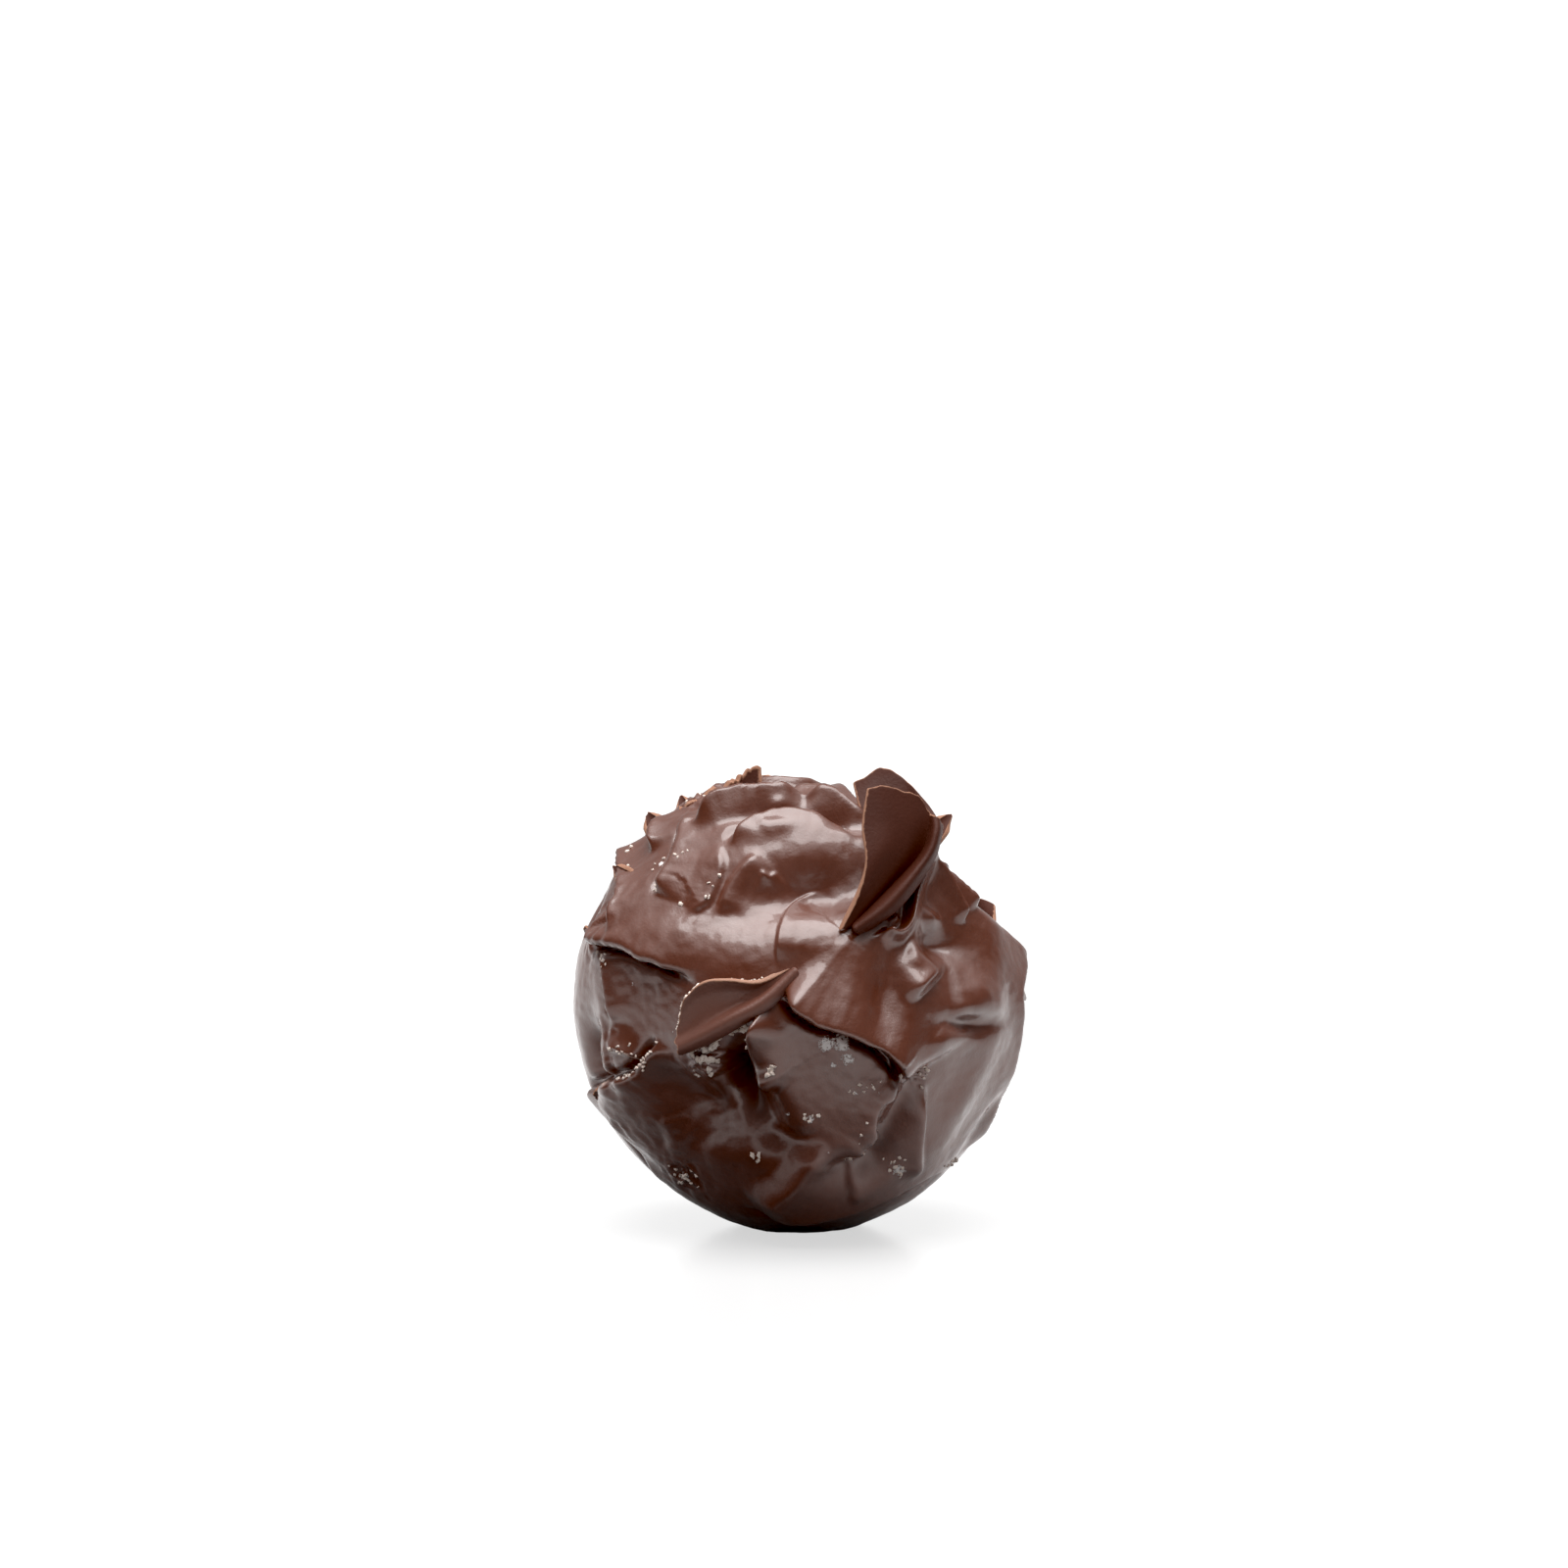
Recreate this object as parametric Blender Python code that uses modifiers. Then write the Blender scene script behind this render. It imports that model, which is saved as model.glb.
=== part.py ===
"""A chocolate praline: a hand-rolled ball with a coat pushed up into folds, lips and curled flakes.

The ball rests on a small flat spot at the origin. Shapes are placed in millimetres as they are
seen from one side of the ball: so far right and so far up from the ball's middle.
"""

import math

import bmesh
import bpy
import numpy as np
from mathutils import Vector

MM = 0.001

BALL_RADIUS = 13.35
REST_HEIGHT = 13.4
FRONT_TILT = 7.5
BALL_SUBDIVISIONS = 7
SOLID_TRIANGLES = 8200

COAT_COLOUR = (0.066, 0.027, 0.018, 1.0)
COAT_ROUGHNESS = 0.32


def side_frame(turn, tilt):
    """The directions right, up and towards the eye for someone looking at the ball from one side."""
    a = math.radians(turn)
    e = math.radians(tilt)
    right = np.array([math.cos(a), math.sin(a), 0.0])
    towards = np.array([math.sin(a) * math.cos(e), -math.cos(a) * math.cos(e), math.sin(e)])
    return right, np.cross(towards, right), towards


FRONT = side_frame(0, FRONT_TILT)
RIGHT = side_frame(90, 0)
BACK = side_frame(180, 0)
LEFT = side_frame(270, 0)
TOP = side_frame(0, 90)
UNDER = side_frame(0, -90)


def on_ball(side, across, up):
    """The direction from the ball's middle to the place seen at (across, up) from a side."""
    right, upward, towards = side
    depth = math.sqrt(max(BALL_RADIUS**2 - across**2 - up**2, 0.3))
    place = across * right + up * upward + depth * towards
    return place / np.linalg.norm(place)


def in_space(side, across, up, depth):
    """The point at (across, up) from a side, so far towards the eye from the ball's middle."""
    right, upward, towards = side
    return across * right + up * upward + depth * towards


def smooth_route(points, count=28):
    """Points spread evenly along a Catmull-Rom curve through a few given points."""
    p = np.array(points, float)
    p = np.vstack([2 * p[0] - p[1], p, 2 * p[-1] - p[-2]])
    spans = len(p) - 3
    t = np.linspace(0, spans, count)
    k = np.minimum(t.astype(int), spans - 1)
    f = (t - k)[:, None]
    a, b, c, d = p[k], p[k + 1], p[k + 2], p[k + 3]
    return 0.5 * (2 * b + (c - a) * f + (2 * a - 5 * b + 4 * c - d) * f**2 + (3 * b - a - 3 * c + d) * f**3)


def smooth_step(x):
    """0 below 0, 1 above 1, and a smooth rise between them."""
    x = np.clip(x, 0, 1)
    return x * x * (3 - 2 * x)


def along_route(directions, route):
    """For each direction: how far along the route, 0 to 1, the signed distance to its left in mm,
    and the unit vector on the surface that points to its left."""
    route = route / np.linalg.norm(route, axis=1)[:, None]
    start, step = route[:-1], np.diff(route, axis=0)
    best = np.full(len(directions), 1e9)
    share = np.zeros(len(directions))
    offset = np.zeros(len(directions))
    leftward = np.zeros_like(directions)
    for i, (s, d) in enumerate(zip(start, step)):
        f = np.clip((directions - s) @ d / (d @ d), 0, 1)
        away = directions - (s + f[:, None] * d)
        distance = np.linalg.norm(away, axis=1)
        left = np.cross(s, d / np.linalg.norm(d))
        nearer = distance < best
        best[nearer] = distance[nearer]
        share[nearer] = (i + f[nearer]) / len(step)
        offset[nearer] = (np.sign(away @ left) * distance)[nearer]
        leftward[nearer] = left
    return share, offset * BALL_RADIUS, leftward


class Fold:
    """A wave of chocolate pushed up by a finger. Its steep face drops away on the right of its
    route, and its gentle back runs down on the left. Its crest leans over the steep face."""

    def __init__(self, side, route, height, steep, gentle, lean=0.0, ends=(0.25, 0.25)):
        self.route = smooth_route([on_ball(side, *p) for p in route])
        self.height = height
        self.steep = steep
        self.gentle = gentle
        self.lean = lean
        self.ends = ends

    def press(self, directions, radius, slide):
        """Adds the fold's height to the radius and its lean to the sideways slide."""
        share, offset, leftward = along_route(directions, self.route)
        taper = smooth_step(share / self.ends[0]) * smooth_step((1 - share) / self.ends[1])
        back = np.exp(-np.maximum(offset, 0) / self.gentle)
        face = smooth_step(1 + offset / self.steep)
        rise = self.height * taper * np.where(offset > 0, back, face)
        radius += rise
        slide -= (self.lean * rise)[:, None] * leftward


class Swell:
    """A smooth rise, or a fingertip's hollow where its height is below zero, longer along its
    turned axis than across it."""

    def __init__(self, side, place, height, length, width, turn=0.0):
        self.middle = on_ball(side, *place)
        right, upward, _ = side
        t = math.radians(turn)
        along = math.cos(t) * right + math.sin(t) * upward
        self.along = along - (along @ self.middle) * self.middle
        self.along /= np.linalg.norm(self.along)
        self.across = np.cross(self.middle, self.along)
        self.height = height
        self.length = length
        self.width = width

    def press(self, directions, radius, slide):
        """Adds the swell's height to the radius."""
        x = directions @ self.along * BALL_RADIUS / self.length
        y = directions @ self.across * BALL_RADIUS / self.width
        near = directions @ self.middle > 0
        radius += np.where(near, self.height * np.exp(-(x * x + y * y)), 0.0)


class Facet:
    """A place where the ball was pressed nearly flat, so far below its round surface."""

    def __init__(self, side, place, depth, soft=0.5):
        self.normal = on_ball(side, *place)
        self.distance = BALL_RADIUS - depth
        self.soft = soft

    def press(self, directions, radius, slide):
        """Cuts the radius down to the flat, with a soft edge."""
        facing = np.maximum(directions @ self.normal, 0.25)
        flat = self.distance / facing
        h = np.clip(0.5 + 0.5 * (flat - radius) / self.soft, 0, 1)
        radius[:] = flat + (radius - flat) * h - self.soft * h * (1 - h)


def front_forms():
    """The pressed flats, hollows and folds of the front."""
    return [
        Swell(UNDER, (0.0, 0.0), 0.5, 7.0, 7.0),
        Facet(FRONT, (9.2, 11.0), 1.5, 0.8),
        Facet(FRONT, (0.9, -4.6), 0.75, 0.5),
        Facet(FRONT, (-9.0, 0.0), 0.7, 0.5),
        Facet(FRONT, (-8.0, 8.3), 0.45, 0.5),
        Facet(FRONT, (-6.5, -8.4), 1.1, 0.8),
        Facet(FRONT, (4.9, 1.6), 0.7, 0.6),
        Swell(FRONT, (0.6, 7.0), -1.5, 4.2, 2.6, 15),
        Swell(FRONT, (-3.3, -4.4), -3.2, 1.9, 1.1, 80),
        Swell(FRONT, (-4.9, -6.6), -1.9, 3.4, 2.4, -40),
        Swell(FRONT, (9.4, 3.4), -0.8, 3.0, 1.2, -12),
        Swell(FRONT, (9.8, -1.3), -0.45, 2.2, 0.9, -8),
        Swell(FRONT, (5.7, 5.4), 1.1, 1.3, 0.6, 72),
        Swell(FRONT, (-1.6, -0.9), 0.6, 2.4, 1.4, 50),
        Fold(FRONT, [(-12.0, 3.9), (-10.5, 3.75), (-9.0, 3.1), (-7.6, 2.3), (-6.0, 1.2)], 1.2, 0.5, 2.6, 0.5),
        Fold(FRONT, [(-0.6, 0.9), (0.6, -0.2), (2.2, -0.9), (4.4, -1.7), (5.9, -3.0), (6.4, -5.2)], 1.1, 0.6, 1.2, 0.5),
        Fold(FRONT, [(3.6, 8.4), (2.7, 9.7), (1.2, 10.8), (-1.0, 10.9), (-3.0, 10.2), (-4.2, 8.6)], 0.9, 0.8, 1.0, 0.3),
        Fold(FRONT, [(3.9, 11.0), (2.0, 11.8), (0.0, 12.4), (-3.0, 11.9), (-6.4, 10.9)], 0.7, 0.7, 0.9, 0.4),
        Fold(FRONT, [(-8.1, 6.4), (-7.6, 8.0), (-7.0, 9.2), (-6.7, 10.4)], 0.45, 0.4, 1.8, 0.2),
        Fold(FRONT, [(-4.2, 8.6), (-4.9, 7.0), (-5.7, 5.7), (-7.0, 5.5)], 0.4, 0.4, 1.2, 0.2),
        Fold(FRONT, [(0.6, 7.0), (-0.5, 6.0), (-1.1, 4.2), (-1.1, 2.2)], 0.35, 1.0, 2.0, 0.0),
        Fold(FRONT, [(7.3, 6.2), (7.1, 4.0), (6.5, 2.0), (5.9, 0.2)], 0.7, 0.9, 1.6, 0.2),
        Fold(FRONT, [(13.0, 4.2), (11.0, 4.9), (9.0, 4.9), (7.2, 5.6)], 0.9, 1.6, 2.0, 0.2),
        Fold(FRONT, [(7.4, 8.6), (8.7, 7.4), (9.8, 5.9), (10.4, 4.4)], 0.6, 0.5, 0.7, 0.2),
        Fold(FRONT, [(8.6, 8.4), (9.8, 7.0), (11.0, 5.4)], 0.45, 0.5, 0.7, 0.2),
        Fold(FRONT, [(11.6, -0.6), (9.8, -0.7), (8.0, -0.5), (6.6, 0.4)], 0.4, 1.0, 1.6, 0.0),
        Fold(FRONT, [(2.7, -9.8), (3.9, -8.4), (4.2, -6.8), (4.6, -5.6), (6.2, -5.0)], 0.5, 0.35, 1.4, 0.3),
        Fold(FRONT, [(6.2, -9.6), (6.9, -7.0), (7.1, -4.2)], 0.5, 1.3, 1.3, 0.0),
        Fold(FRONT, [(8.2, -9.0), (9.4, -6.5), (10.2, -3.4)], 0.35, 1.2, 1.5, 0.0),
        Fold(FRONT, [(9.4, -9.6), (7.6, -10.4), (5.5, -11.0), (3.0, -11.8), (0.0, -12.1), (-3.4, -12.0)], 0.5, 0.8, 1.6, 0.2),
        Fold(FRONT, [(1.2, -9.0), (0.2, -10.4), (-1.2, -11.4), (-3.0, -11.9)], 0.5, 1.2, 1.6, 0.0),
        Fold(FRONT, [(-1.0, -8.2), (-2.6, -8.8), (-4.4, -9.1), (-6.4, -9.8)], 0.5, 0.7, 1.2, 0.1),
        Fold(FRONT, [(-6.6, -4.8), (-7.1, -5.9), (-8.6, -6.3)], 0.4, 0.5, 0.8, 0.1),
        Fold(FRONT, [(-2.6, -1.4), (-2.5, -3.2), (-2.3, -4.6), (-1.2, -5.8)], 1.1, 0.5, 1.1, 0.4),
        Fold(FRONT, [(-10.3, 9.4), (-10.2, 7.4), (-10.2, 5.6), (-10.4, 4.0)], 0.5, 0.6, 1.4, 0.1),
        Fold(FRONT, [(12.7, 3.6), (12.7, 1.0), (12.5, -2.0), (11.8, -5.2), (10.3, -8.2)], 0.5, 0.6, 1.2, 0.1),
        Fold(FRONT, [(-11.3, 3.2), (-11.4, 0.8), (-11.2, -1.6)], 0.3, 0.5, 0.9, 0.1),
        Fold(FRONT, [(-12.5, -5.0), (-11.0, -5.0), (-9.8, -4.4), (-8.9, -2.6)], 1.3, 0.5, 1.3, 0.5),
    ]


def hidden_forms():
    """The same kind of flats, hollows and folds on the back, the top and the rear of both sides,
    where the eye in front doesn't reach."""
    return [
        Facet(BACK, (5.0, 4.5), 0.9, 0.6),
        Facet(BACK, (-6.0, -3.0), 0.8, 0.6),
        Facet(BACK, (2.0, -7.5), 0.9, 0.6),
        Facet(LEFT, (-5.5, 0.0), 0.7, 0.6),
        Facet(RIGHT, (5.5, -3.0), 0.7, 0.6),
        Facet(TOP, (-2.0, 6.0), 0.7, 0.6),
        Swell(BACK, (-3.0, 5.5), -1.3, 4.0, 2.4, -20),
        Swell(BACK, (4.0, -1.5), -1.2, 3.4, 2.0, 40),
        Swell(LEFT, (-4.5, 5.0), -0.9, 3.4, 2.0, 60),
        Swell(LEFT, (4.6, -1.0), -0.5, 3.0, 1.6, 80),
        Swell(RIGHT, (4.0, 4.5), -1.0, 3.8, 2.2, 10),
        Swell(TOP, (1.5, 2.5), -0.6, 3.6, 2.2, 30),
        Fold(BACK, [(2.6, 4.8), (1.0, 7.6), (-2.6, 8.8), (-6.0, 7.6), (-8.5, 4.5)], 1.1, 0.6, 1.4, 0.4),
        Fold(BACK, [(-9.8, 1.2), (-6.6, 1.6), (-3.4, 0.4), (-0.8, -1.6), (0.4, -4.8)], 1.1, 0.6, 1.6, 0.5),
        Fold(BACK, [(2.8, 2.6), (5.4, 2.0), (7.8, 0.2), (8.8, -2.8)], 0.9, 0.5, 1.5, 0.4),
        Fold(BACK, [(9.8, 5.4), (7.4, 6.6), (4.6, 9.0), (3.6, 11.0)], 0.8, 0.6, 1.5, 0.3),
        Fold(BACK, [(-8.8, -4.6), (-6.2, -5.8), (-3.6, -8.2), (-2.6, -10.8)], 0.7, 0.6, 1.6, 0.3),
        Fold(BACK, [(3.2, -5.2), (4.2, -7.4), (6.4, -8.8), (8.4, -8.8)], 0.7, 0.6, 1.4, 0.3),
        Fold(BACK, [(-3.4, 4.6), (-2.4, 5.8), (-0.8, 5.6)], 0.4, 0.6, 0.9, 0.1),
        Fold(LEFT, [(-6.0, -9.2), (-5.0, -6.0), (-6.4, -3.0), (-5.4, 0.6)], 0.8, 0.6, 1.5, 0.4),
        Fold(LEFT, [(-2.2, 9.4), (-4.6, 7.6), (-6.4, 8.0), (-8.8, 6.0)], 0.7, 0.6, 1.4, 0.3),
        Fold(LEFT, [(-2.6, -1.6), (-3.6, 1.2), (-2.8, 3.8)], 0.5, 0.6, 1.4, 0.2),
        Fold(RIGHT, [(1.6, 0.6), (4.4, -0.2), (6.4, 1.2), (8.6, 4.2)], 1.0, 0.6, 1.6, 0.4),
        Fold(RIGHT, [(7.6, -1.4), (5.2, -3.6), (4.6, -6.6), (5.4, -9.0)], 0.8, 0.6, 1.6, 0.4),
        Fold(RIGHT, [(2.2, 9.6), (4.2, 8.4), (6.6, 8.0), (8.6, 6.6)], 0.8, 0.6, 1.3, 0.3),
        Fold(TOP, [(-7.0, 2.2), (-3.6, 3.0), (-0.4, 2.2), (1.8, 4.2)], 0.6, 0.6, 1.2, 0.3),
        Fold(TOP, [(7.8, 3.4), (4.8, 3.0), (2.2, 5.0), (1.2, 8.0)], 0.7, 0.6, 1.3, 0.4),
    ]


def raise_coat(bm, forms):
    """Moves the vertices of a round ball out to the folds, hollows and flats of the coat."""
    directions = np.array([v.co.normalized() for v in bm.verts])
    radius = np.full(len(directions), BALL_RADIUS)
    slide = np.zeros_like(directions)
    for form in forms:
        form.press(directions, radius, slide)
    places = directions * radius[:, None] + slide
    for vertex, place in zip(bm.verts, places):
        vertex.co = Vector(place * MM)


def add_object(name, bm, collection):
    """Turns a bmesh into an object whose origin is the ball's middle."""
    mesh = bpy.data.meshes.new(name)
    bm.to_mesh(mesh)
    bm.free()
    made = bpy.data.objects.new(name, mesh)
    made.location.z = REST_HEIGHT * MM
    collection.objects.link(made)
    return made


def flake(name, collection, side, lines, thickness, levels=1):
    """A thin leaf of chocolate lofted through lines that run from its root or tip to its rim.
    Each line is a row of points seen from one side of the ball."""
    bm = bmesh.new()
    grid = [[bm.verts.new(in_space(side, *p) * MM) for p in line] for line in lines]
    for row, after in zip(grid, grid[1:]):
        for i in range(len(row) - 1):
            bm.faces.new((row[i], row[i + 1], after[i + 1], after[i]))
    made = add_object(name, bm, collection)
    smooth = made.modifiers.new("smooth", "SUBSURF")
    smooth.levels = smooth.render_levels = levels
    smooth.boundary_smooth = "PRESERVE_CORNERS"
    leaf = made.modifiers.new("leaf", "SOLIDIFY")
    leaf.thickness = thickness * MM
    leaf.offset = 0.0
    return made


def petal_lines(side, root, tip, width, lift, cup):
    """The lines of a small upright petal: from its root on the ball to its rounded tip, which is
    seen at another place and stands off the ball by the lift. Its edges curl outwards by the cup."""
    low = on_ball(side, *root) * (BALL_RADIUS - 0.9)
    high = on_ball(side, *tip) * (BALL_RADIUS + lift)
    along = high - low
    outward = low / np.linalg.norm(low)
    across = np.cross(outward, along / np.linalg.norm(along))
    right, upward, towards = side
    lines = []
    for edge in (-1.0, -0.45, 0.45, 1.0):
        line = []
        for share in (0.0, 0.6, 1.0):
            spread = width * 0.5 * edge * (1.0 - 0.3 * share**2)
            curl = cup * edge * edge * (0.4 + share)
            reach = share * (1.0 - 0.4 * edge * edge)
            p = low + along * reach + across * spread + outward * curl
            line.append((p @ right, p @ upward, p @ towards))
        lines.append(line)
    return lines


# The big curl, rolled like a cornet: its left edge, dark face, groove, lip, and round to the wall
# behind. Each line runs from the tip at the bottom to the open rim at the top.
CURL_LINES = [
    [(2.25, 4.0, 12.75), (3.2, 6.4, 12.3), (3.55, 9.2, 11.3), (3.85, 12.1, 10.0)],
    [(2.5, 4.05, 12.7), (4.0, 6.6, 12.0), (4.9, 9.3, 10.9), (5.2, 12.3, 9.6)],
    [(2.8, 4.15, 12.5), (4.6, 6.2, 11.4), (6.2, 8.3, 9.9), (6.8, 11.6, 8.6)],
    [(3.1, 3.95, 12.9), (5.3, 5.9, 12.6), (7.2, 8.1, 11.0), (7.85, 10.6, 8.6)],
    [(3.3, 3.9, 12.2), (5.8, 5.6, 11.4), (7.5, 8.0, 9.0), (8.1, 10.4, 6.6)],
    [(3.5, 4.4, 11.6), (6.4, 7.0, 9.0), (7.4, 9.6, 6.4), (6.6, 12.6, 5.0)],
    [(3.4, 4.8, 11.4), (5.2, 7.6, 8.6), (5.0, 10.4, 6.0), (4.9, 13.6, 4.6)],
    [(3.2, 5.0, 11.2), (4.2, 7.8, 8.8), (3.7, 10.2, 6.4), (3.2, 12.7, 4.6)],
]

# The leaf left of the middle: its ragged upper edge, dark face, valley, and the roll below it.
# Each line runs from the leaf's tip to its left end.
LEAF_LINES = [
    [(-0.5, 2.0, 13.1), (-2.4, 1.2, 13.4), (-4.2, 1.2, 13.1), (-5.7, 1.0, 12.6), (-6.8, 0.1, 11.9)],
    [(-0.5, 1.95, 13.0), (-2.5, 0.75, 12.9), (-4.3, 0.3, 12.6), (-5.9, -0.3, 12.1), (-7.0, -1.0, 11.5)],
    [(-0.45, 1.9, 13.0), (-2.4, 0.4, 12.9), (-4.1, -0.55, 12.6), (-5.8, -1.5, 12.0), (-7.15, -2.2, 11.4)],
    [(-0.25, 1.8, 13.4), (-2.1, 0.3, 13.8), (-3.9, -0.75, 13.5), (-5.6, -1.85, 12.8), (-7.2, -2.6, 11.9)],
    [(-0.1, 1.5, 13.1), (-1.8, -0.15, 13.4), (-3.6, -1.3, 13.0), (-5.4, -2.35, 12.3), (-7.1, -2.95, 11.4)],
    [(-0.4, 1.3, 12.3), (-2.0, -0.1, 12.2), (-3.8, -1.1, 11.8), (-5.5, -2.1, 11.2), (-7.0, -2.7, 10.5)],
]

# The ragged crest at the top left.
CREST_LINES = [
    [(-6.9, 10.4, 3.6), (-5.2, 11.0, 3.4), (-3.6, 11.6, 3.0), (-1.8, 12.2, 2.2)],
    [(-6.8, 11.5, 4.2), (-5.2, 12.2, 3.7), (-3.7, 13.0, 3.0), (-2.3, 14.0, 2.0)],
    [(-6.7, 11.2, 3.0), (-5.1, 11.8, 2.5), (-3.6, 12.4, 1.8), (-2.1, 13.2, 0.9)],
]

# Each small petal: side, root, tip, width, lift, cup.
PETALS = [
    (FRONT, (-8.2, 9.6), (-8.7, 10.4), 1.5, 0.5, 0.2),
    (FRONT, (-12.4, 2.4), (-12.2, 4.2), 1.2, 0.45, -0.2),
    (FRONT, (-10.4, -6.6), (-11.8, -5.2), 2.4, 0.35, 0.2),
    (FRONT, (7.6, 9.6), (8.3, 10.2), 1.6, 0.9, 0.2),
    (BACK, (-1.6, 6.2), (-4.6, 8.4), 3.6, 0.9, 0.7),
    (BACK, (4.0, -2.6), (6.6, 0.4), 3.4, 1.0, 0.6),
    (BACK, (-6.2, -2.4), (-8.2, -0.4), 2.6, 0.7, 0.5),
    (BACK, (6.4, 5.6), (6.2, 7.8), 2.2, 0.7, 0.4),
    (BACK, (-0.6, -6.0), (-2.8, -5.0), 2.4, 0.8, 0.5),
    (LEFT, (-4.4, 1.6), (-6.6, 3.6), 3.0, 0.9, 0.6),
    (LEFT, (-5.2, -5.2), (-7.2, -4.0), 2.2, 0.7, 0.4),
    (RIGHT, (5.2, 2.4), (7.6, 4.6), 3.2, 0.9, 0.6),
    (RIGHT, (5.4, -4.6), (7.6, -3.2), 2.4, 0.7, 0.5),
    (TOP, (0.2, 3.6), (-2.6, 5.0), 2.8, 0.5, 0.4),
]


def flakes(collection):
    """Every flake and petal that stands off the coat."""
    flake("curl", collection, FRONT, CURL_LINES, 0.45)
    flake("leaf", collection, FRONT, LEAF_LINES, 0.4)
    flake("crest", collection, FRONT, CREST_LINES, 0.6)
    for number, (side, root, tip, width, lift, cup) in enumerate(PETALS):
        lines = petal_lines(side, root, tip, width, lift, cup)
        flake(f"petal_{number}", collection, side, lines, 0.4)


def freeze(made):
    """Applies an object's modifiers to its mesh."""
    depsgraph = bpy.context.evaluated_depsgraph_get()
    mesh = bpy.data.meshes.new_from_object(made.evaluated_get(depsgraph))
    made.modifiers.clear()
    made.data = mesh


def boolean(made, name, operation, solver, cutter=None, collection=None):
    """Adds a Boolean with one cutter or with all of a collection."""
    modifier = made.modifiers.new(name, "BOOLEAN")
    modifier.operation = operation
    modifier.solver = solver
    if collection:
        modifier.operand_type = "COLLECTION"
        modifier.collection = collection
    else:
        modifier.object = cutter


def rest_cutter(collection):
    """The block of space below the surface that the praline rests on."""
    bpy.ops.mesh.primitive_cube_add(size=1.0)
    block = bpy.context.object
    block.name = "rest_cutter"
    block.data.transform(block.matrix_world)
    block.scale = (40 * MM, 40 * MM, 10 * MM)
    block.location.z = -5 * MM
    for old in list(block.users_collection):
        old.objects.unlink(block)
    collection.objects.link(block)
    block.hide_render = True
    block.display_type = "WIRE"
    return block


def coat_material():
    """Dark chocolate, glossy where fingers smoothed it."""
    material = bpy.data.materials.new("chocolate_coat")
    material.use_nodes = True
    shader = material.node_tree.nodes["Principled BSDF"]
    shader.inputs["Base Color"].default_value = COAT_COLOUR
    shader.inputs["Roughness"].default_value = COAT_ROUGHNESS
    shader.inputs["Metallic"].default_value = 0.0
    return material


def new_collection(name):
    """A new collection in the scene."""
    made = bpy.data.collections.new(name)
    bpy.context.scene.collection.children.link(made)
    return made


def main():
    """Builds the praline."""
    for old in list(bpy.data.objects):
        bpy.data.objects.remove(old)
    parts = new_collection("chocolate_praline")
    loose = new_collection("flakes")
    cutters = new_collection("cutters")

    bm = bmesh.new()
    bmesh.ops.create_icosphere(bm, subdivisions=BALL_SUBDIVISIONS, radius=1.0)
    raise_coat(bm, front_forms() + hidden_forms())
    faces = len(bm.faces)
    praline = add_object("praline", bm, parts)

    fewer = praline.modifiers.new("fewer", "DECIMATE")
    fewer.ratio = SOLID_TRIANGLES / faces
    flakes(loose)
    boolean(praline, "join_flakes", "UNION", "MANIFOLD", collection=loose)
    boolean(praline, "rest_flat", "DIFFERENCE", "EXACT", cutter=rest_cutter(cutters))
    freeze(praline)
    for joined in list(loose.objects):
        bpy.data.objects.remove(joined)
    praline.data.materials.clear()
    praline.data.materials.append(coat_material())
    praline.data.shade_smooth()
    praline.data.set_sharp_from_angle(angle=math.radians(40))


main()
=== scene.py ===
"""The dressed chocolate praline: a hand-rolled ball whose coat is smeared into folds, flats and lips.

The coat, each thin leaf that curls off it and each scatter of loose crumbs is a piece of its own.
Its pale bloom is part of the coat's finish. Shapes are placed in millimetres as they are seen from
one side of the ball: so far right and so far up from the ball's middle.
"""

import logging
import math
from dataclasses import dataclass, field
from enum import Enum

import bmesh
import bpy
import numpy as np
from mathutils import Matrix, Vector, noise


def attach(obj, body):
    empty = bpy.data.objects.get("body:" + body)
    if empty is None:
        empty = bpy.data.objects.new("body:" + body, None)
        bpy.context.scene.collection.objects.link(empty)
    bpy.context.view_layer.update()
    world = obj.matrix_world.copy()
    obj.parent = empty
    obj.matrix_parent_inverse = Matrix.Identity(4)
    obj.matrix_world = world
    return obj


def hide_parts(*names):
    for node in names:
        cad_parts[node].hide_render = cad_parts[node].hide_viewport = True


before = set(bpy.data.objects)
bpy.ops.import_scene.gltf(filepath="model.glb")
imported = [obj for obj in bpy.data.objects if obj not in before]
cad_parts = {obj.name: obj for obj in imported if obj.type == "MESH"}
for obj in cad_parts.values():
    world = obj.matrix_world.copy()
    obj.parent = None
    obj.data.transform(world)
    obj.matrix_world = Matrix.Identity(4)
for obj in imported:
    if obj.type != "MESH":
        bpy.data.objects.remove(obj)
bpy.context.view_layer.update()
LOG = logging.getLogger("praline")

MM = 0.001
BALL_RADIUS = 13.35
REST_HEIGHT = 13.4
BALL_MIDDLE = Vector((0.0, 0.0, REST_HEIGHT * MM))
# Blender's vector noise, which crumples the torn patches, is different each run unless it has a seed.
NOISE_SEED = 1795818968

Place = tuple[float, float]
SpacePlace = tuple[float, float, float]
Socket = bpy.types.NodeSocket


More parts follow.
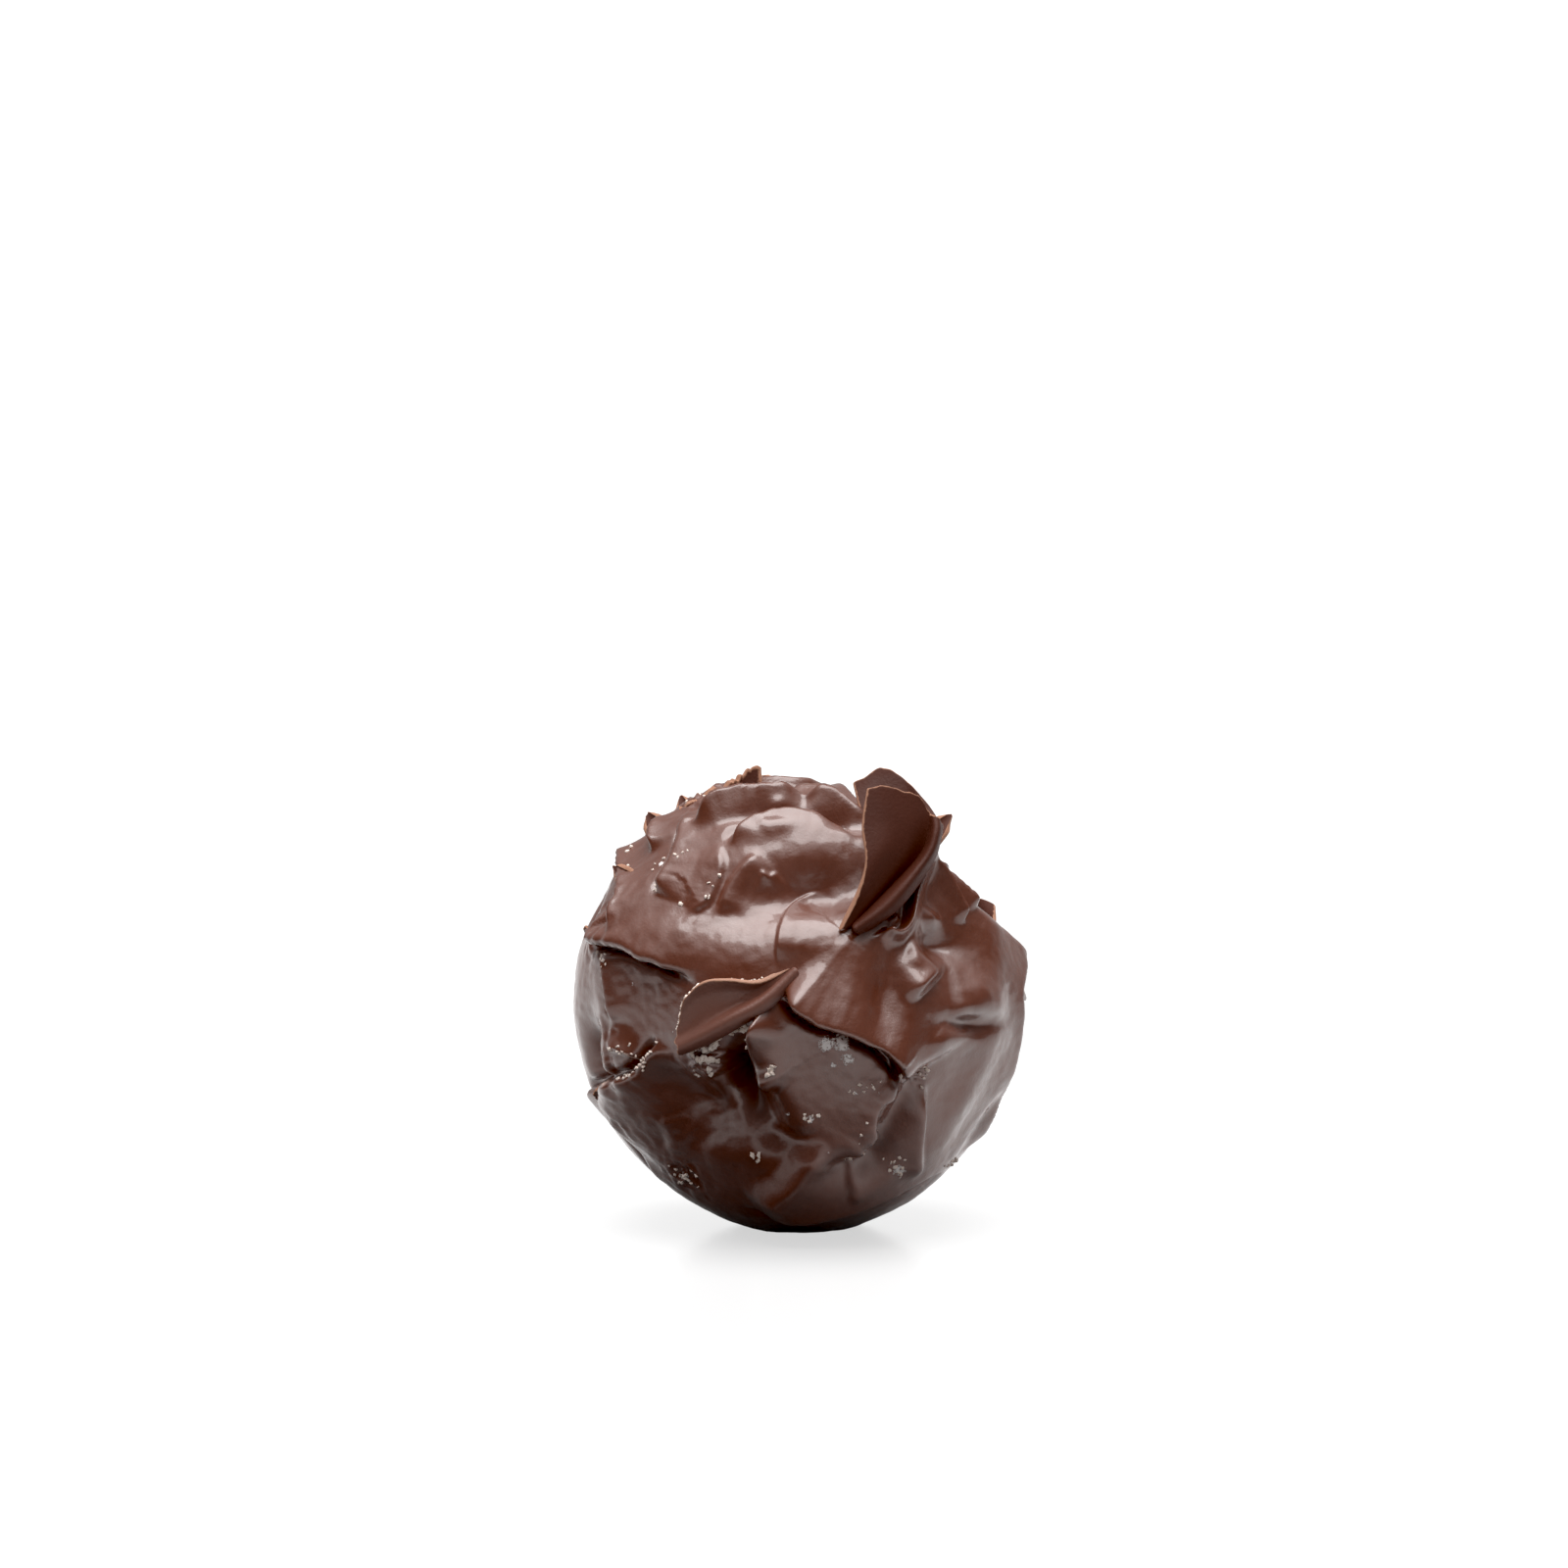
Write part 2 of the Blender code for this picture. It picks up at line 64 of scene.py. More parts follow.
class Side(Enum):
    """A side from which the ball is looked at: its turn, and its tilt above the horizon."""

    FRONT = (0.0, 7.5)
    RIGHT = (90.0, 0.0)
    BACK = (180.0, 0.0)
    LEFT = (270.0, 0.0)
    TOP = (0.0, 90.0)
    UNDER = (0.0, -90.0)

    def axes(self) -> tuple[np.ndarray, np.ndarray, np.ndarray]:
        """The directions right, up and towards the eye."""
        turn, tilt = (math.radians(angle) for angle in self.value)
        right = np.array([math.cos(turn), math.sin(turn), 0.0])
        towards = np.array(
            [math.sin(turn) * math.cos(tilt), -math.cos(turn) * math.cos(tilt), math.sin(tilt)]
        )
        return right, np.cross(towards, right), towards

    def point(self, across: float, up: float, depth: float) -> np.ndarray:
        """The point at a place seen from this side.

        Args:
            across: Distance to the right of the ball's middle, in mm.
            up: Distance above the ball's middle, in mm.
            depth: Distance from the ball's middle towards the eye, in mm.

        Returns:
            The point in mm, counted from the ball's middle.
        """
        right, upward, towards = self.axes()
        return across * right + up * upward + depth * towards

    def direction(self, across: float, up: float) -> np.ndarray:
        """The unit direction from the ball's middle to a place that is seen on the ball."""
        depth = math.sqrt(max(BALL_RADIUS**2 - across**2 - up**2, 0.3))
        place = self.point(across, up, depth)
        return place / np.linalg.norm(place)


def smooth_step(x: np.ndarray) -> np.ndarray:
    """0 below 0, 1 above 1, and a smooth rise between them."""
    x = np.clip(x, 0, 1)
    return x * x * (3 - 2 * x)


def wander(x: np.ndarray, seed: int) -> np.ndarray:
    """A smooth random line between -1 and 1 that changes once each unit of x."""
    values = np.random.default_rng(seed).uniform(-1, 1, 256)
    cell = np.floor(x).astype(int)
    blend = smooth_step(x - cell)
    return values[cell % 256] * (1 - blend) + values[(cell + 1) % 256] * blend


def smooth_route(points: np.ndarray, count: int = 28) -> np.ndarray:
    """Points spread evenly along a Catmull-Rom curve.

    Args:
        points: The points that the curve passes through, one a row.
        count: How many points to return.

    Returns:
        The points of the curve, one a row.
    """
    before, after = 2 * points[0] - points[1], 2 * points[-1] - points[-2]
    p = np.concatenate([before[None], points, after[None]])
    spans = len(p) - 3
    t = np.linspace(0, spans, count)
    k = np.minimum(t.astype(int), spans - 1)
    f = (t - k).reshape(-1, *[1] * (points.ndim - 1))
    a, b, c, d = p[k], p[k + 1], p[k + 2], p[k + 3]
    return 0.5 * (
        2 * b + (c - a) * f + (2 * a - 5 * b + 4 * c - d) * f**2 + (3 * b - a - 3 * c + d) * f**3
    )


@dataclass
class Relief:
    """The coat's surface while it is shaped: one entry for each direction from the middle."""

    directions: np.ndarray
    radius: np.ndarray = field(init=False)
    slide: np.ndarray = field(init=False)
    rim: np.ndarray = field(init=False)
    bloom: np.ndarray = field(init=False)

    def __post_init__(self) -> None:
        """Starts as a round, clean ball."""
        count = len(self.directions)
        self.radius = np.full(count, BALL_RADIUS)
        self.slide = np.zeros((count, 3))
        self.rim = np.zeros(count)
        self.bloom = np.zeros(count)

    def places(self) -> np.ndarray:
        """The surface's points in mm, counted from the ball's middle."""
        return self.directions * self.radius[:, None] + self.slide


# How far apart, in mm along a fold, its crest wanders aside, widely and finely, and in height, and
# how far apart the pale patches of its broken edge lie, whose pale colour is partly the broken
# chocolate's own and partly a painted highlight.
WIDE_WANDER, FINE_WANDER, HEIGHT_WANDER, PATCH_WANDER = 0.9, 0.35, 0.6, 0.5
GROOVE_WIDTH = 0.38
RIM_WIDTH = 0.13


@dataclass(frozen=True)
class Fold:
    """A wave of chocolate pushed up by a finger.

    Its steep face drops away on the right of its route, and its gentle back runs down on the left.
    Its crest, as round as its softness says, leans over the steep face, and a groove may run under it.
    """

    side: Side
    route: list[Place]
    height: float
    steep: float
    gentle: float
    lean: float = 0.0
    ends: tuple[float, float] = (0.25, 0.25)
    groove: float = 0.0
    ragged: float = 0.0
    broken_edge_and_glint: float = 0.0
    soft: float = 0.12
    seed: int = 0

    def press(self, relief: Relief) -> None:
        """Adds the fold to the relief."""
        route = smooth_route(np.array([self.side.direction(*p) for p in self.route]))
        route /= np.linalg.norm(route, axis=1)[:, None]
        middle = route.mean(0) / np.linalg.norm(route.mean(0))
        reach = math.acos(min(1.0, (route @ middle).min())) + (3.5 * self.gentle + 1.5) / BALL_RADIUS
        near = np.flatnonzero(relief.directions @ middle > math.cos(min(reach, math.pi)))
        directions = relief.directions[near]
        best = np.full(len(near), 1e9)
        share = np.zeros(len(near))
        offset = np.zeros(len(near))
        leftward = np.zeros((len(near), 3))
        for i, (start, step) in enumerate(zip(route[:-1], np.diff(route, axis=0))):
            f = np.clip((directions - start) @ step / (step @ step), 0, 1)
            away = directions - (start + f[:, None] * step)
            distance = np.linalg.norm(away, axis=1)
            left = np.cross(start, step / np.linalg.norm(step))
            nearer = distance < best
            best[nearer] = distance[nearer]
            share[nearer] = (i + f[nearer]) / (len(route) - 1)
            offset[nearer] = (np.sign(away @ left) * distance)[nearer]
            leftward[nearer] = left
        offset *= BALL_RADIUS
        run = share * np.linalg.norm(np.diff(route, axis=0), axis=1).sum() * BALL_RADIUS
        seed = self.seed or int(1000 * abs(self.route[0][0]) + 10 * abs(self.route[-1][1])) + 7
        offset = offset + self.ragged * (
            wander(run / WIDE_WANDER, seed) + 0.5 * wander(run / FINE_WANDER, seed + 1)
        )
        taper = smooth_step(share / self.ends[0]) * smooth_step((1 - share) / self.ends[1])
        back = np.exp(-(np.hypot(np.maximum(offset, 0), self.soft) - self.soft) / self.gentle)
        face = smooth_step(1 + offset / self.steep)
        rise = self.height * taper * np.where(offset > 0, back, face)
        rise *= 1 + 0.8 * self.ragged * wander(run / HEIGHT_WANDER, seed + 2)
        dip = self.groove * taper * np.exp(-(((offset + 1.15 * self.steep) / GROOVE_WIDTH) ** 2))
        relief.radius[near] += rise - dip
        relief.slide[near] -= (self.lean * rise)[:, None] * leftward
        # The rim mask paints a pale edge along the crest: partly the broken chocolate's own colour, partly a
        # painted highlight.
        if self.broken_edge_and_glint:
            patchy = np.clip(0.55 + 0.9 * wander(run / PATCH_WANDER, seed + 3), 0, 1)
            edge = self.broken_edge_and_glint * taper * patchy * np.exp(-(((offset + 0.05) / RIM_WIDTH) ** 2))
            relief.rim[near] = np.maximum(relief.rim[near], edge)


@dataclass(frozen=True)
class Swell:
    """A smooth rise, or a fingertip's hollow where its height is below zero."""

    side: Side
    place: Place
    height: float
    length: float
    width: float
    turn: float = 0.0

    def press(self, relief: Relief) -> None:
        """Adds the swell's height to the relief."""
        middle = self.side.direction(*self.place)
        right, upward, _ = self.side.axes()
        turn = math.radians(self.turn)
        along = math.cos(turn) * right + math.sin(turn) * upward
        along -= (along @ middle) * middle
        along /= np.linalg.norm(along)
        x = relief.directions @ along * BALL_RADIUS / self.length
        y = relief.directions @ np.cross(middle, along) * BALL_RADIUS / self.width
        near = relief.directions @ middle > 0
        relief.radius += np.where(near, self.height * np.exp(-(x * x + y * y)), 0.0)


@dataclass(frozen=True)
class Facet:
    """A place where the ball was pressed nearly flat, so far below its round surface.

    Where the ball's surface turns further from the flat's direction than the least facing, the flat
    is held at that slant, so that it never runs off to infinity.
    """

    side: Side
    place: Place
    depth: float
    soft: float = 0.5
    least_facing: float = 0.25

    def press(self, relief: Relief) -> None:
        """Cuts the relief down to the flat, with a soft edge."""
        slant = relief.directions @ self.side.direction(*self.place)
        facing = np.maximum(slant, self.least_facing)
        flat = (BALL_RADIUS - self.depth) / facing
        h = np.clip(0.5 + 0.5 * (flat - relief.radius) / self.soft, 0, 1)
        relief.radius = flat + (relief.radius - flat) * h - self.soft * h * (1 - h)


@dataclass(frozen=True)
class Strokes:
    """The fine ridges of a finger's smear, straight or round a swirl's middle."""

    side: Side
    place: Place
    reach: float
    depth: float
    spacing: float
    heading: float = 0.0
    swirl: Place | None = None
    seed: int = 1

    def press(self, relief: Relief) -> None:
        """Adds the ridges to the relief."""
        right, upward, towards = self.side.axes()
        x = relief.directions @ right * BALL_RADIUS
        y = relief.directions @ upward * BALL_RADIUS
        heading = math.radians(self.heading)
        along = x * math.cos(heading) + y * math.sin(heading)
        if self.swirl:
            lane = np.hypot(x - self.swirl[0], y - self.swirl[1])
        else:
            lane = y * math.cos(heading) - x * math.sin(heading)
        lane = (lane + 0.5 * wander(along / 5, self.seed)) / self.spacing
        ridges = 0.7 * wander(lane, self.seed + 1) + 0.3 * wander(2.7 * lane, self.seed + 2)
        away = np.hypot(x - self.place[0], y - self.place[1]) / self.reach
        facing = relief.directions @ towards > 0
        relief.radius += np.where(facing, self.depth * ridges * np.exp(-(away**2)), 0.0)


@dataclass(frozen=True)
class Rough:
    """A torn, crumpled patch: creased lumps that fade out from its middle."""

    side: Side
    place: Place
    reach: float
    depth: float
    size: float
    seed: int = 1

    def press(self, relief: Relief) -> None:
        """Adds the lumps to the relief."""
        middle = self.side.direction(*self.place)
        away = np.linalg.norm(relief.directions - middle, axis=1) * BALL_RADIUS / self.reach
        for i in np.flatnonzero(away < 1.8):
            v = Vector(relief.directions[i]) * (BALL_RADIUS / self.size) + Vector((self.seed, 0.0, 0.0))
            bent = v + 0.6 * noise.noise_vector(v * 0.7)
            crease = 0.45 - 2.0 * math.hypot(noise.noise(bent), 0.08) + 0.3 * noise.noise(bent * 2.7)
            relief.radius[i] += self.depth * crease * math.exp(-(away[i] ** 2))


@dataclass(frozen=True)
class Bloom:
    """A dusty patch where pale specks of set fat lie on the coat."""

    side: Side
    place: Place
    reach: float
    strength: float

    def press(self, relief: Relief) -> None:
        """Marks the patch on the relief."""
        away = np.linalg.norm(relief.directions - self.side.direction(*self.place), axis=1)
        patch = self.strength * np.exp(-((away * BALL_RADIUS / self.reach) ** 2))
        relief.bloom = np.maximum(relief.bloom, patch)


F, R, B, L, T, U = Side.FRONT, Side.RIGHT, Side.BACK, Side.LEFT, Side.TOP, Side.UNDER

# The forms are pressed in this order, because a flat cuts off what was raised before it.
FRONT_FLATS = [
    # The resting spot, and the planes that fingers pressed.
    Swell(U, (0.0, 0.0), 0.5, 7.0, 7.0),
    Facet(F, (9.2, 11.0), 1.5, 0.8),
    Facet(F, (0.6, 12.9), 0.8, 0.5),
    Facet(F, (0.9, -4.6), 0.75, 0.4),
    Facet(F, (-9.3, -0.6), 0.8, 0.4),
    Facet(F, (-7.0, 8.2), 0.55, 0.4),
    Facet(F, (-9.6, 7.6), 0.5, 0.3),
    Facet(F, (-6.5, -8.4), 1.1, 0.8),
    Facet(F, (9.5, -5.5), 0.5, 0.5),
    # The swirl's bowl, the ground round it and the dip above it.
    Swell(F, (0.6, 6.7), -1.9, 3.8, 2.1, 12),
    Swell(F, (-4.2, 5.6), -0.5, 3.0, 2.0, 0),
    Swell(F, (3.4, 5.2), 0.5, 1.2, 0.7, 50),
    Swell(F, (2.4, 10.6), -0.9, 1.6, 0.85, -20),
    # The hollows under the middle and under the rolled leaf.
    Swell(F, (3.0, -9.6), -0.9, 2.2, 1.2, 0),
    Swell(F, (-3.4, -4.3), -3.6, 1.7, 1.2, 80),
    Swell(F, (-2.9, -6.6), -2.4, 2.4, 1.3, -60),
    Swell(F, (-5.9, -6.9), -1.4, 3.2, 2.4, -30),
    Swell(F, (-8.0, -4.8), -0.6, 1.9, 1.6, 30),
    Swell(F, (-1.2, -8.6), -0.5, 2.0, 0.8, 20),
    # The notches and flats of the outline.
    Swell(F, (-12.3, -3.6), -1.7, 1.7, 1.2, 70),
    Swell(F, (-12.2, 5.3), -0.9, 1.2, 1.0, 90),
    Swell(F, (-7.9, 10.6), -0.6, 0.6, 0.5, 0),
    Swell(F, (12.2, -6.2), -0.8, 4.5, 1.6, 60),
    # The right side's planes, hollows and flutes.
    Facet(F, (8.3, 4.6), 0.9, 0.3),
    Swell(F, (8.4, 3.5), -0.8, 1.9, 0.9, 5),
    Swell(F, (12.7, 3.9), 0.9, 1.6, 1.5, 0),
    Swell(F, (8.0, 5.0), 0.35, 0.7, 0.6, 0),
    Swell(F, (10.4, 0.6), 0.3, 1.2, 1.0, 0),
    Swell(F, (9.7, -1.4), -0.6, 1.9, 0.6, -8),
    Swell(F, (5.4, -7.2), -0.9, 3.4, 0.9, 80),
    Swell(F, (9.6, -6.0), 0.5, 3.8, 1.4, 66),
    Swell(F, (5.0, 0.6), -0.7, 2.6, 1.1, 78),
    Swell(F, (10.9, -7.0), -0.5, 2.2, 0.8, 60),
]

FRONT_FOLDS = [
    # The left lip and the long lip under the middle.
    Fold(F, [(-12.2, 3.9), (-11.4, 3.75), (-10.4, 3.6), (-9.0, 3.0), (-7.7, 2.35), (-5.8, 1.1)], 1.1, 0.35,
         1.2, 0.6, ends=(0.1, 0.3), groove=1.0, ragged=0.06, broken_edge_and_glint=0.35),
    Fold(F, [(-0.9, 1.0), (0.2, 0.0), (1.1, -0.6), (2.4, -1.05), (4.4, -1.85), (5.8, -3.0), (6.4, -4.6)],
         1.6, 0.6, 1.5, 0.5, groove=1.1, ends=(0.15, 0.1), soft=0.3, ragged=0.05),
    # The swirl's left flank and its crest, and the two ridges above them.
    Fold(F, [(-2.0, 8.7), (-3.2, 7.7), (-4.2, 6.5), (-4.8, 5.0)], 0.45, 0.8, 1.4, 0.0, soft=0.6),
    Fold(F, [(3.4, 9.2), (2.4, 10.1), (1.2, 10.6), (-0.4, 10.75), (-2.0, 10.5), (-3.1, 9.9),
             (-4.0, 8.8)], 0.45, 0.5, 0.7, 0.3, ragged=0.1, ends=(0.35, 0.15), groove=0.25),
    Swell(F, (-1.6, 9.9), 0.35, 1.6, 0.6, 12),
    Fold(F, [(4.4, 10.7), (3.0, 11.3), (1.6, 11.6), (0.2, 11.8)], 1.3, 0.5, 0.75, 0.2, soft=0.15),
    Fold(F, [(0.9, 12.1), (-0.6, 11.8), (-2.0, 11.5), (-3.6, 11.3), (-5.0, 10.8), (-6.2, 10.1)],
         1.4, 0.4, 0.7, 0.2, soft=0.12, ragged=0.08),
    Swell(F, (-2.4, 10.9), -0.5, 2.2, 0.5, 12),
    Swell(F, (-1.3, 11.2), 0.35, 0.6, 0.3, 25),
    Swell(F, (0.5, 11.8), 0.35, 0.6, 0.3, -20),
    Swell(F, (-6.4, 10.4), 0.25, 0.6, 0.4, 30),
    # The outline's top, and the flat with its light ridge at the upper left.
    Fold(F, [(3.4, 12.3), (2.2, 12.8), (0.6, 13.1), (-1.0, 13.0)], 0.6, 0.4, 0.9, 0.2, ragged=0.05),
    Fold(F, [(-1.8, 13.2), (-3.4, 12.9), (-4.8, 12.2), (-6.2, 11.6), (-7.2, 11.2)], 0.45, 0.5, 0.7, 0.2,
         ragged=0.12, broken_edge_and_glint=0.9),
    Fold(F, [(-6.5, 10.8), (-6.8, 10.0), (-7.1, 9.0), (-7.6, 8.0), (-8.1, 6.9), (-8.5, 6.2)], 0.8, 0.25,
         1.8, 0.3, groove=0.4, ragged=0.08, broken_edge_and_glint=0.5),
    Fold(F, [(-7.6, 11.2), (-8.0, 10.4), (-8.5, 9.6), (-8.8, 8.8)], 0.7, 0.3, 0.7, 0.2, ragged=0.1,
         broken_edge_and_glint=0.5),
    Fold(F, [(-6.8, 5.2), (-5.9, 5.7), (-5.2, 6.5), (-4.7, 7.6), (-4.7, 8.4), (-5.0, 9.4)], 0.3, 0.5, 2.4,
         0.0, ragged=0.04),
    # The fan's edge and the small curl in the swirl.
    Fold(F, [(1.6, 7.2), (0.4, 6.9), (-0.5, 6.1), (-1.0, 4.8), (-1.2, 3.4), (-1.15, 1.8)], 0.5, 0.25, 2.0,
         0.1, ends=(0.4, 0.2)),
    Fold(F, [(-1.3, 7.9), (-1.8, 7.5), (-2.4, 7.7)], 0.2, 0.3, 0.6, 0.0),
    # The edge and the little flat right of the middle.
    Fold(F, [(7.3, 7.0), (7.1, 4.6), (6.8, 3.2), (6.4, 1.7)], 0.35, 0.7, 0.6, 0.0, soft=0.4,
         ends=(0.4, 0.2)),
    Fold(F, [(5.7, 0.3), (6.5, 0.8), (7.3, 1.4), (8.1, 2.0), (8.9, 2.7)], 0.9, 0.8, 1.4, 0.0, soft=0.25,
         ends=(0.35, 0.45)),
    # The plane below the curl, its two streaks and the drip beside them.
    Facet(F, (9.0, 10.8), 2.3, 0.3),
    Fold(F, [(10.0, 4.6), (9.7, 5.4), (9.1, 6.4), (8.2, 7.6), (7.2, 8.6)], 0.75, 0.25, 0.5, 0.1, soft=0.1),
    Fold(F, [(10.6, 5.5), (10.1, 6.2), (9.2, 7.2), (8.0, 8.4)], 0.7, 0.25, 0.5, 0.1, soft=0.1),
    Fold(F, [(7.9, 9.4), (7.3, 7.8), (6.8, 6.4), (6.6, 5.4), (6.4, 4.6), (5.9, 4.0), (5.3, 3.9), (5.0, 4.3)],
         1.1, 0.35, 0.3, 0.0, soft=0.2, ends=(0.1, 0.08)),
    Swell(F, (5.6, 4.8), 0.5, 0.35, 0.3, 45),
    # The right side's flutes.
    Fold(F, [(8.6, -0.2), (9.6, -0.4), (10.8, -0.4), (12.2, -0.4)], 0.4, 1.1, 1.6, 0.0, soft=0.5),
    Fold(F, [(12.4, -1.9), (10.4, -1.9), (8.6, -2.0), (7.2, -2.8)], 0.3, 1.0, 1.2, 0.0, soft=0.5),
    # The plane's broken edge and the flute beside it.
    Fold(F, [(2.6, -9.7), (3.3, -8.7), (4.0, -8.0), (4.15, -7.0), (4.3, -6.1), (5.0, -5.5), (6.2, -5.1)],
         0.8, 0.25, 1.4, 0.3, groove=0.3, ragged=0.14, broken_edge_and_glint=0.3, ends=(0.15, 0.15)),
    Fold(F, [(6.4, -10.2), (6.7, -8.4), (7.0, -6.4), (7.1, -4.4)], 0.8, 0.6, 0.7, 0.0, soft=0.35,
         ends=(0.2, 0.4)),
    # The ledge above the floor and the smear that runs down to it.
    Fold(F, [(-3.8, -11.8), (-1.2, -12.0), (1.2, -12.0), (3.6, -11.5), (5.5, -10.8), (7.0, -10.2),
             (8.4, -9.8), (9.4, -9.4)], 0.7, 0.6, 1.6, 0.0, groove=0.5, ends=(0.2, 0.6), soft=0.3),
    Fold(F, [(1.6, -8.2), (0.6, -9.4), (-0.4, -10.4), (-1.4, -11.1), (-3.0, -11.7)], 1.0, 1.4, 1.7, 0.0,
         soft=0.6),
    Fold(F, [(3.2, -9.2), (3.1, -10.2), (3.2, -11.4)], 0.35, 0.6, 0.7, 0.0, soft=0.4),
    # The crumpled ground at the lower left.
    Fold(F, [(-2.4, -8.5), (-3.4, -8.8), (-4.4, -9.0), (-5.4, -9.5), (-6.6, -10.0)], 0.2, 1.0, 1.4, 0.0,
         soft=0.8),
    Fold(F, [(-8.6, -7.2), (-8.0, -8.4), (-7.6, -9.8)], 0.15, 0.9, 1.2, 0.0, soft=0.6),
    # The stem under the long lip and the loop beside it.
    Fold(F, [(-2.0, -0.2), (-2.5, -1.8), (-2.55, -3.4), (-2.2, -4.8), (-1.4, -5.8)], 1.4, 0.35, 0.9, 0.3,
         ragged=0.05, ends=(0.3, 0.25), soft=0.25),
    Fold(F, [(-5.0, -3.2), (-5.5, -4.0), (-5.2, -4.8)], 0.5, 0.6, 0.8, 0.1, ragged=0.1, broken_edge_and_glint=0.4),
    # The edges near the outline, and the flap at the left.
    Fold(F, [(-10.3, 9.8), (-10.2, 8.4), (-10.25, 7.0), (-10.4, 5.6), (-10.5, 4.0)], 0.9, 0.4, 1.2, 0.2,
         ragged=0.08, broken_edge_and_glint=0.5),
    Fold(F, [(9.6, -9.2), (11.2, -6.9), (12.0, -4.7), (12.6, -2.0), (12.7, 0.6), (12.9, 3.2)], 0.5, 0.35,
         1.2, 0.2, ends=(0.15, 0.1)),
    Fold(F, [(-11.3, 3.2), (-11.4, 0.8), (-11.2, -1.6)], 0.5, 0.35, 0.8, 0.1),
    Fold(F, [(-8.7, -2.2), (-9.1, -3.4), (-9.8, -4.3), (-10.5, -4.7), (-11.4, -5.0), (-12.4, -5.4)], 0.7,
         0.3, 1.6, 0.2, groove=0.6, ragged=0.08, broken_edge_and_glint=0.8, ends=(0.2, 0.05)),
    Fold(F, [(-11.5, -2.6), (-10.7, -2.8), (-10.0, -3.3), (-9.8, -3.9)], 0.5, 0.4, 0.5, 0.1, ragged=0.1,
         broken_edge_and_glint=0.8),
    Fold(F, [(-12.0, -5.2), (-11.1, -6.6), (-10.2, -8.2), (-8.9, -9.8), (-7.6, -11.0)], 0.35, 0.35, 1.2, 0.1,
         ragged=0.06, broken_edge_and_glint=0.3, groove=0.3),
    # Torn and crumpled patches.
    Rough(F, (-6.4, -7.4), 3.2, 0.12, 3.0, 3),
    Rough(F, (-5.6, -3.6), 1.5, 0.45, 0.9, 5),
    Rough(F, (-11.4, -3.4), 2.0, 0.4, 1.2, 9),
    Rough(F, (-10.5, -7.0), 2.4, 0.12, 1.2, 11),
    Swell(F, (-9.4, -9.2), -0.5, 2.2, 1.2, -45),
    Rough(F, (-11.6, 4.4), 1.8, 0.4, 1.0, 13),
    Rough(F, (-7.0, -10.6), 1.4, 0.4, 0.8, 15),
    Rough(F, (-5.2, 12.0), 1.8, 0.35, 0.9, 17),
    Rough(F, (6.6, -4.3), 0.8, 0.35, 0.7, 21),
]

# Where bloom shows at the front: so far right, so far up, its reach and its strength.
FRONT_BLOOM = [
    (1.6, -2.6, 0.7, 1.0), (2.5, -2.5, 0.8, 1.0), (2.8, -3.5, 0.6, 0.9), (2.0, -3.9, 0.3, 0.9),
    (3.2, -5.4, 0.3, 0.8), (4.4, -5.1, 0.3, 0.7), (0.6, -7.1, 0.5, 0.8), (-0.8, -7.0, 0.3, 0.8),
    (1.6, -8.6, 0.5, 0.6), (2.7, -9.1, 0.4, 0.9), (3.1, -9.6, 0.4, 0.6), (5.6, -9.6, 0.6, 0.9),
    (8.8, -9.6, 0.5, 0.7), (2.3, -12.4, 0.3, 0.6), (-6.9, -10.6, 0.7, 0.7), (-7.7, -1.9, 0.3, 0.6),
    (-8.3, 8.2, 0.3, 1.0), (-10.2, 1.0, 0.25, 0.7), (-11.3, 2.4, 0.5, 0.7),
]

FRONT_DETAIL = [
    Strokes(F, (0.0, 6.5), 4.5, 0.035, 0.9, swirl=(0.4, 3.6), seed=11),
    Strokes(F, (8.5, -6.0), 4.0, 0.03, 1.2, heading=75, seed=21),
    Strokes(F, (4.5, 2.0), 3.5, 0.05, 1.3, heading=95, seed=31),
    Strokes(F, (-8.0, 0.0), 4.0, 0.03, 1.0, heading=95, seed=41),
    Strokes(F, (-8.0, 7.0), 3.5, 0.04, 0.7, heading=60, seed=51),
    Strokes(F, (-1.0, -10.5), 4.0, 0.06, 0.7, heading=25, seed=61),
    Strokes(F, (-6.0, -8.0), 3.5, 0.05, 1.9, heading=-25, seed=65),
    Strokes(F, (1.0, -5.0), 4.5, 0.03, 0.6, heading=40, seed=67),
] + [Bloom(F, (x, y), reach, strength) for x, y, reach, strength in FRONT_BLOOM]

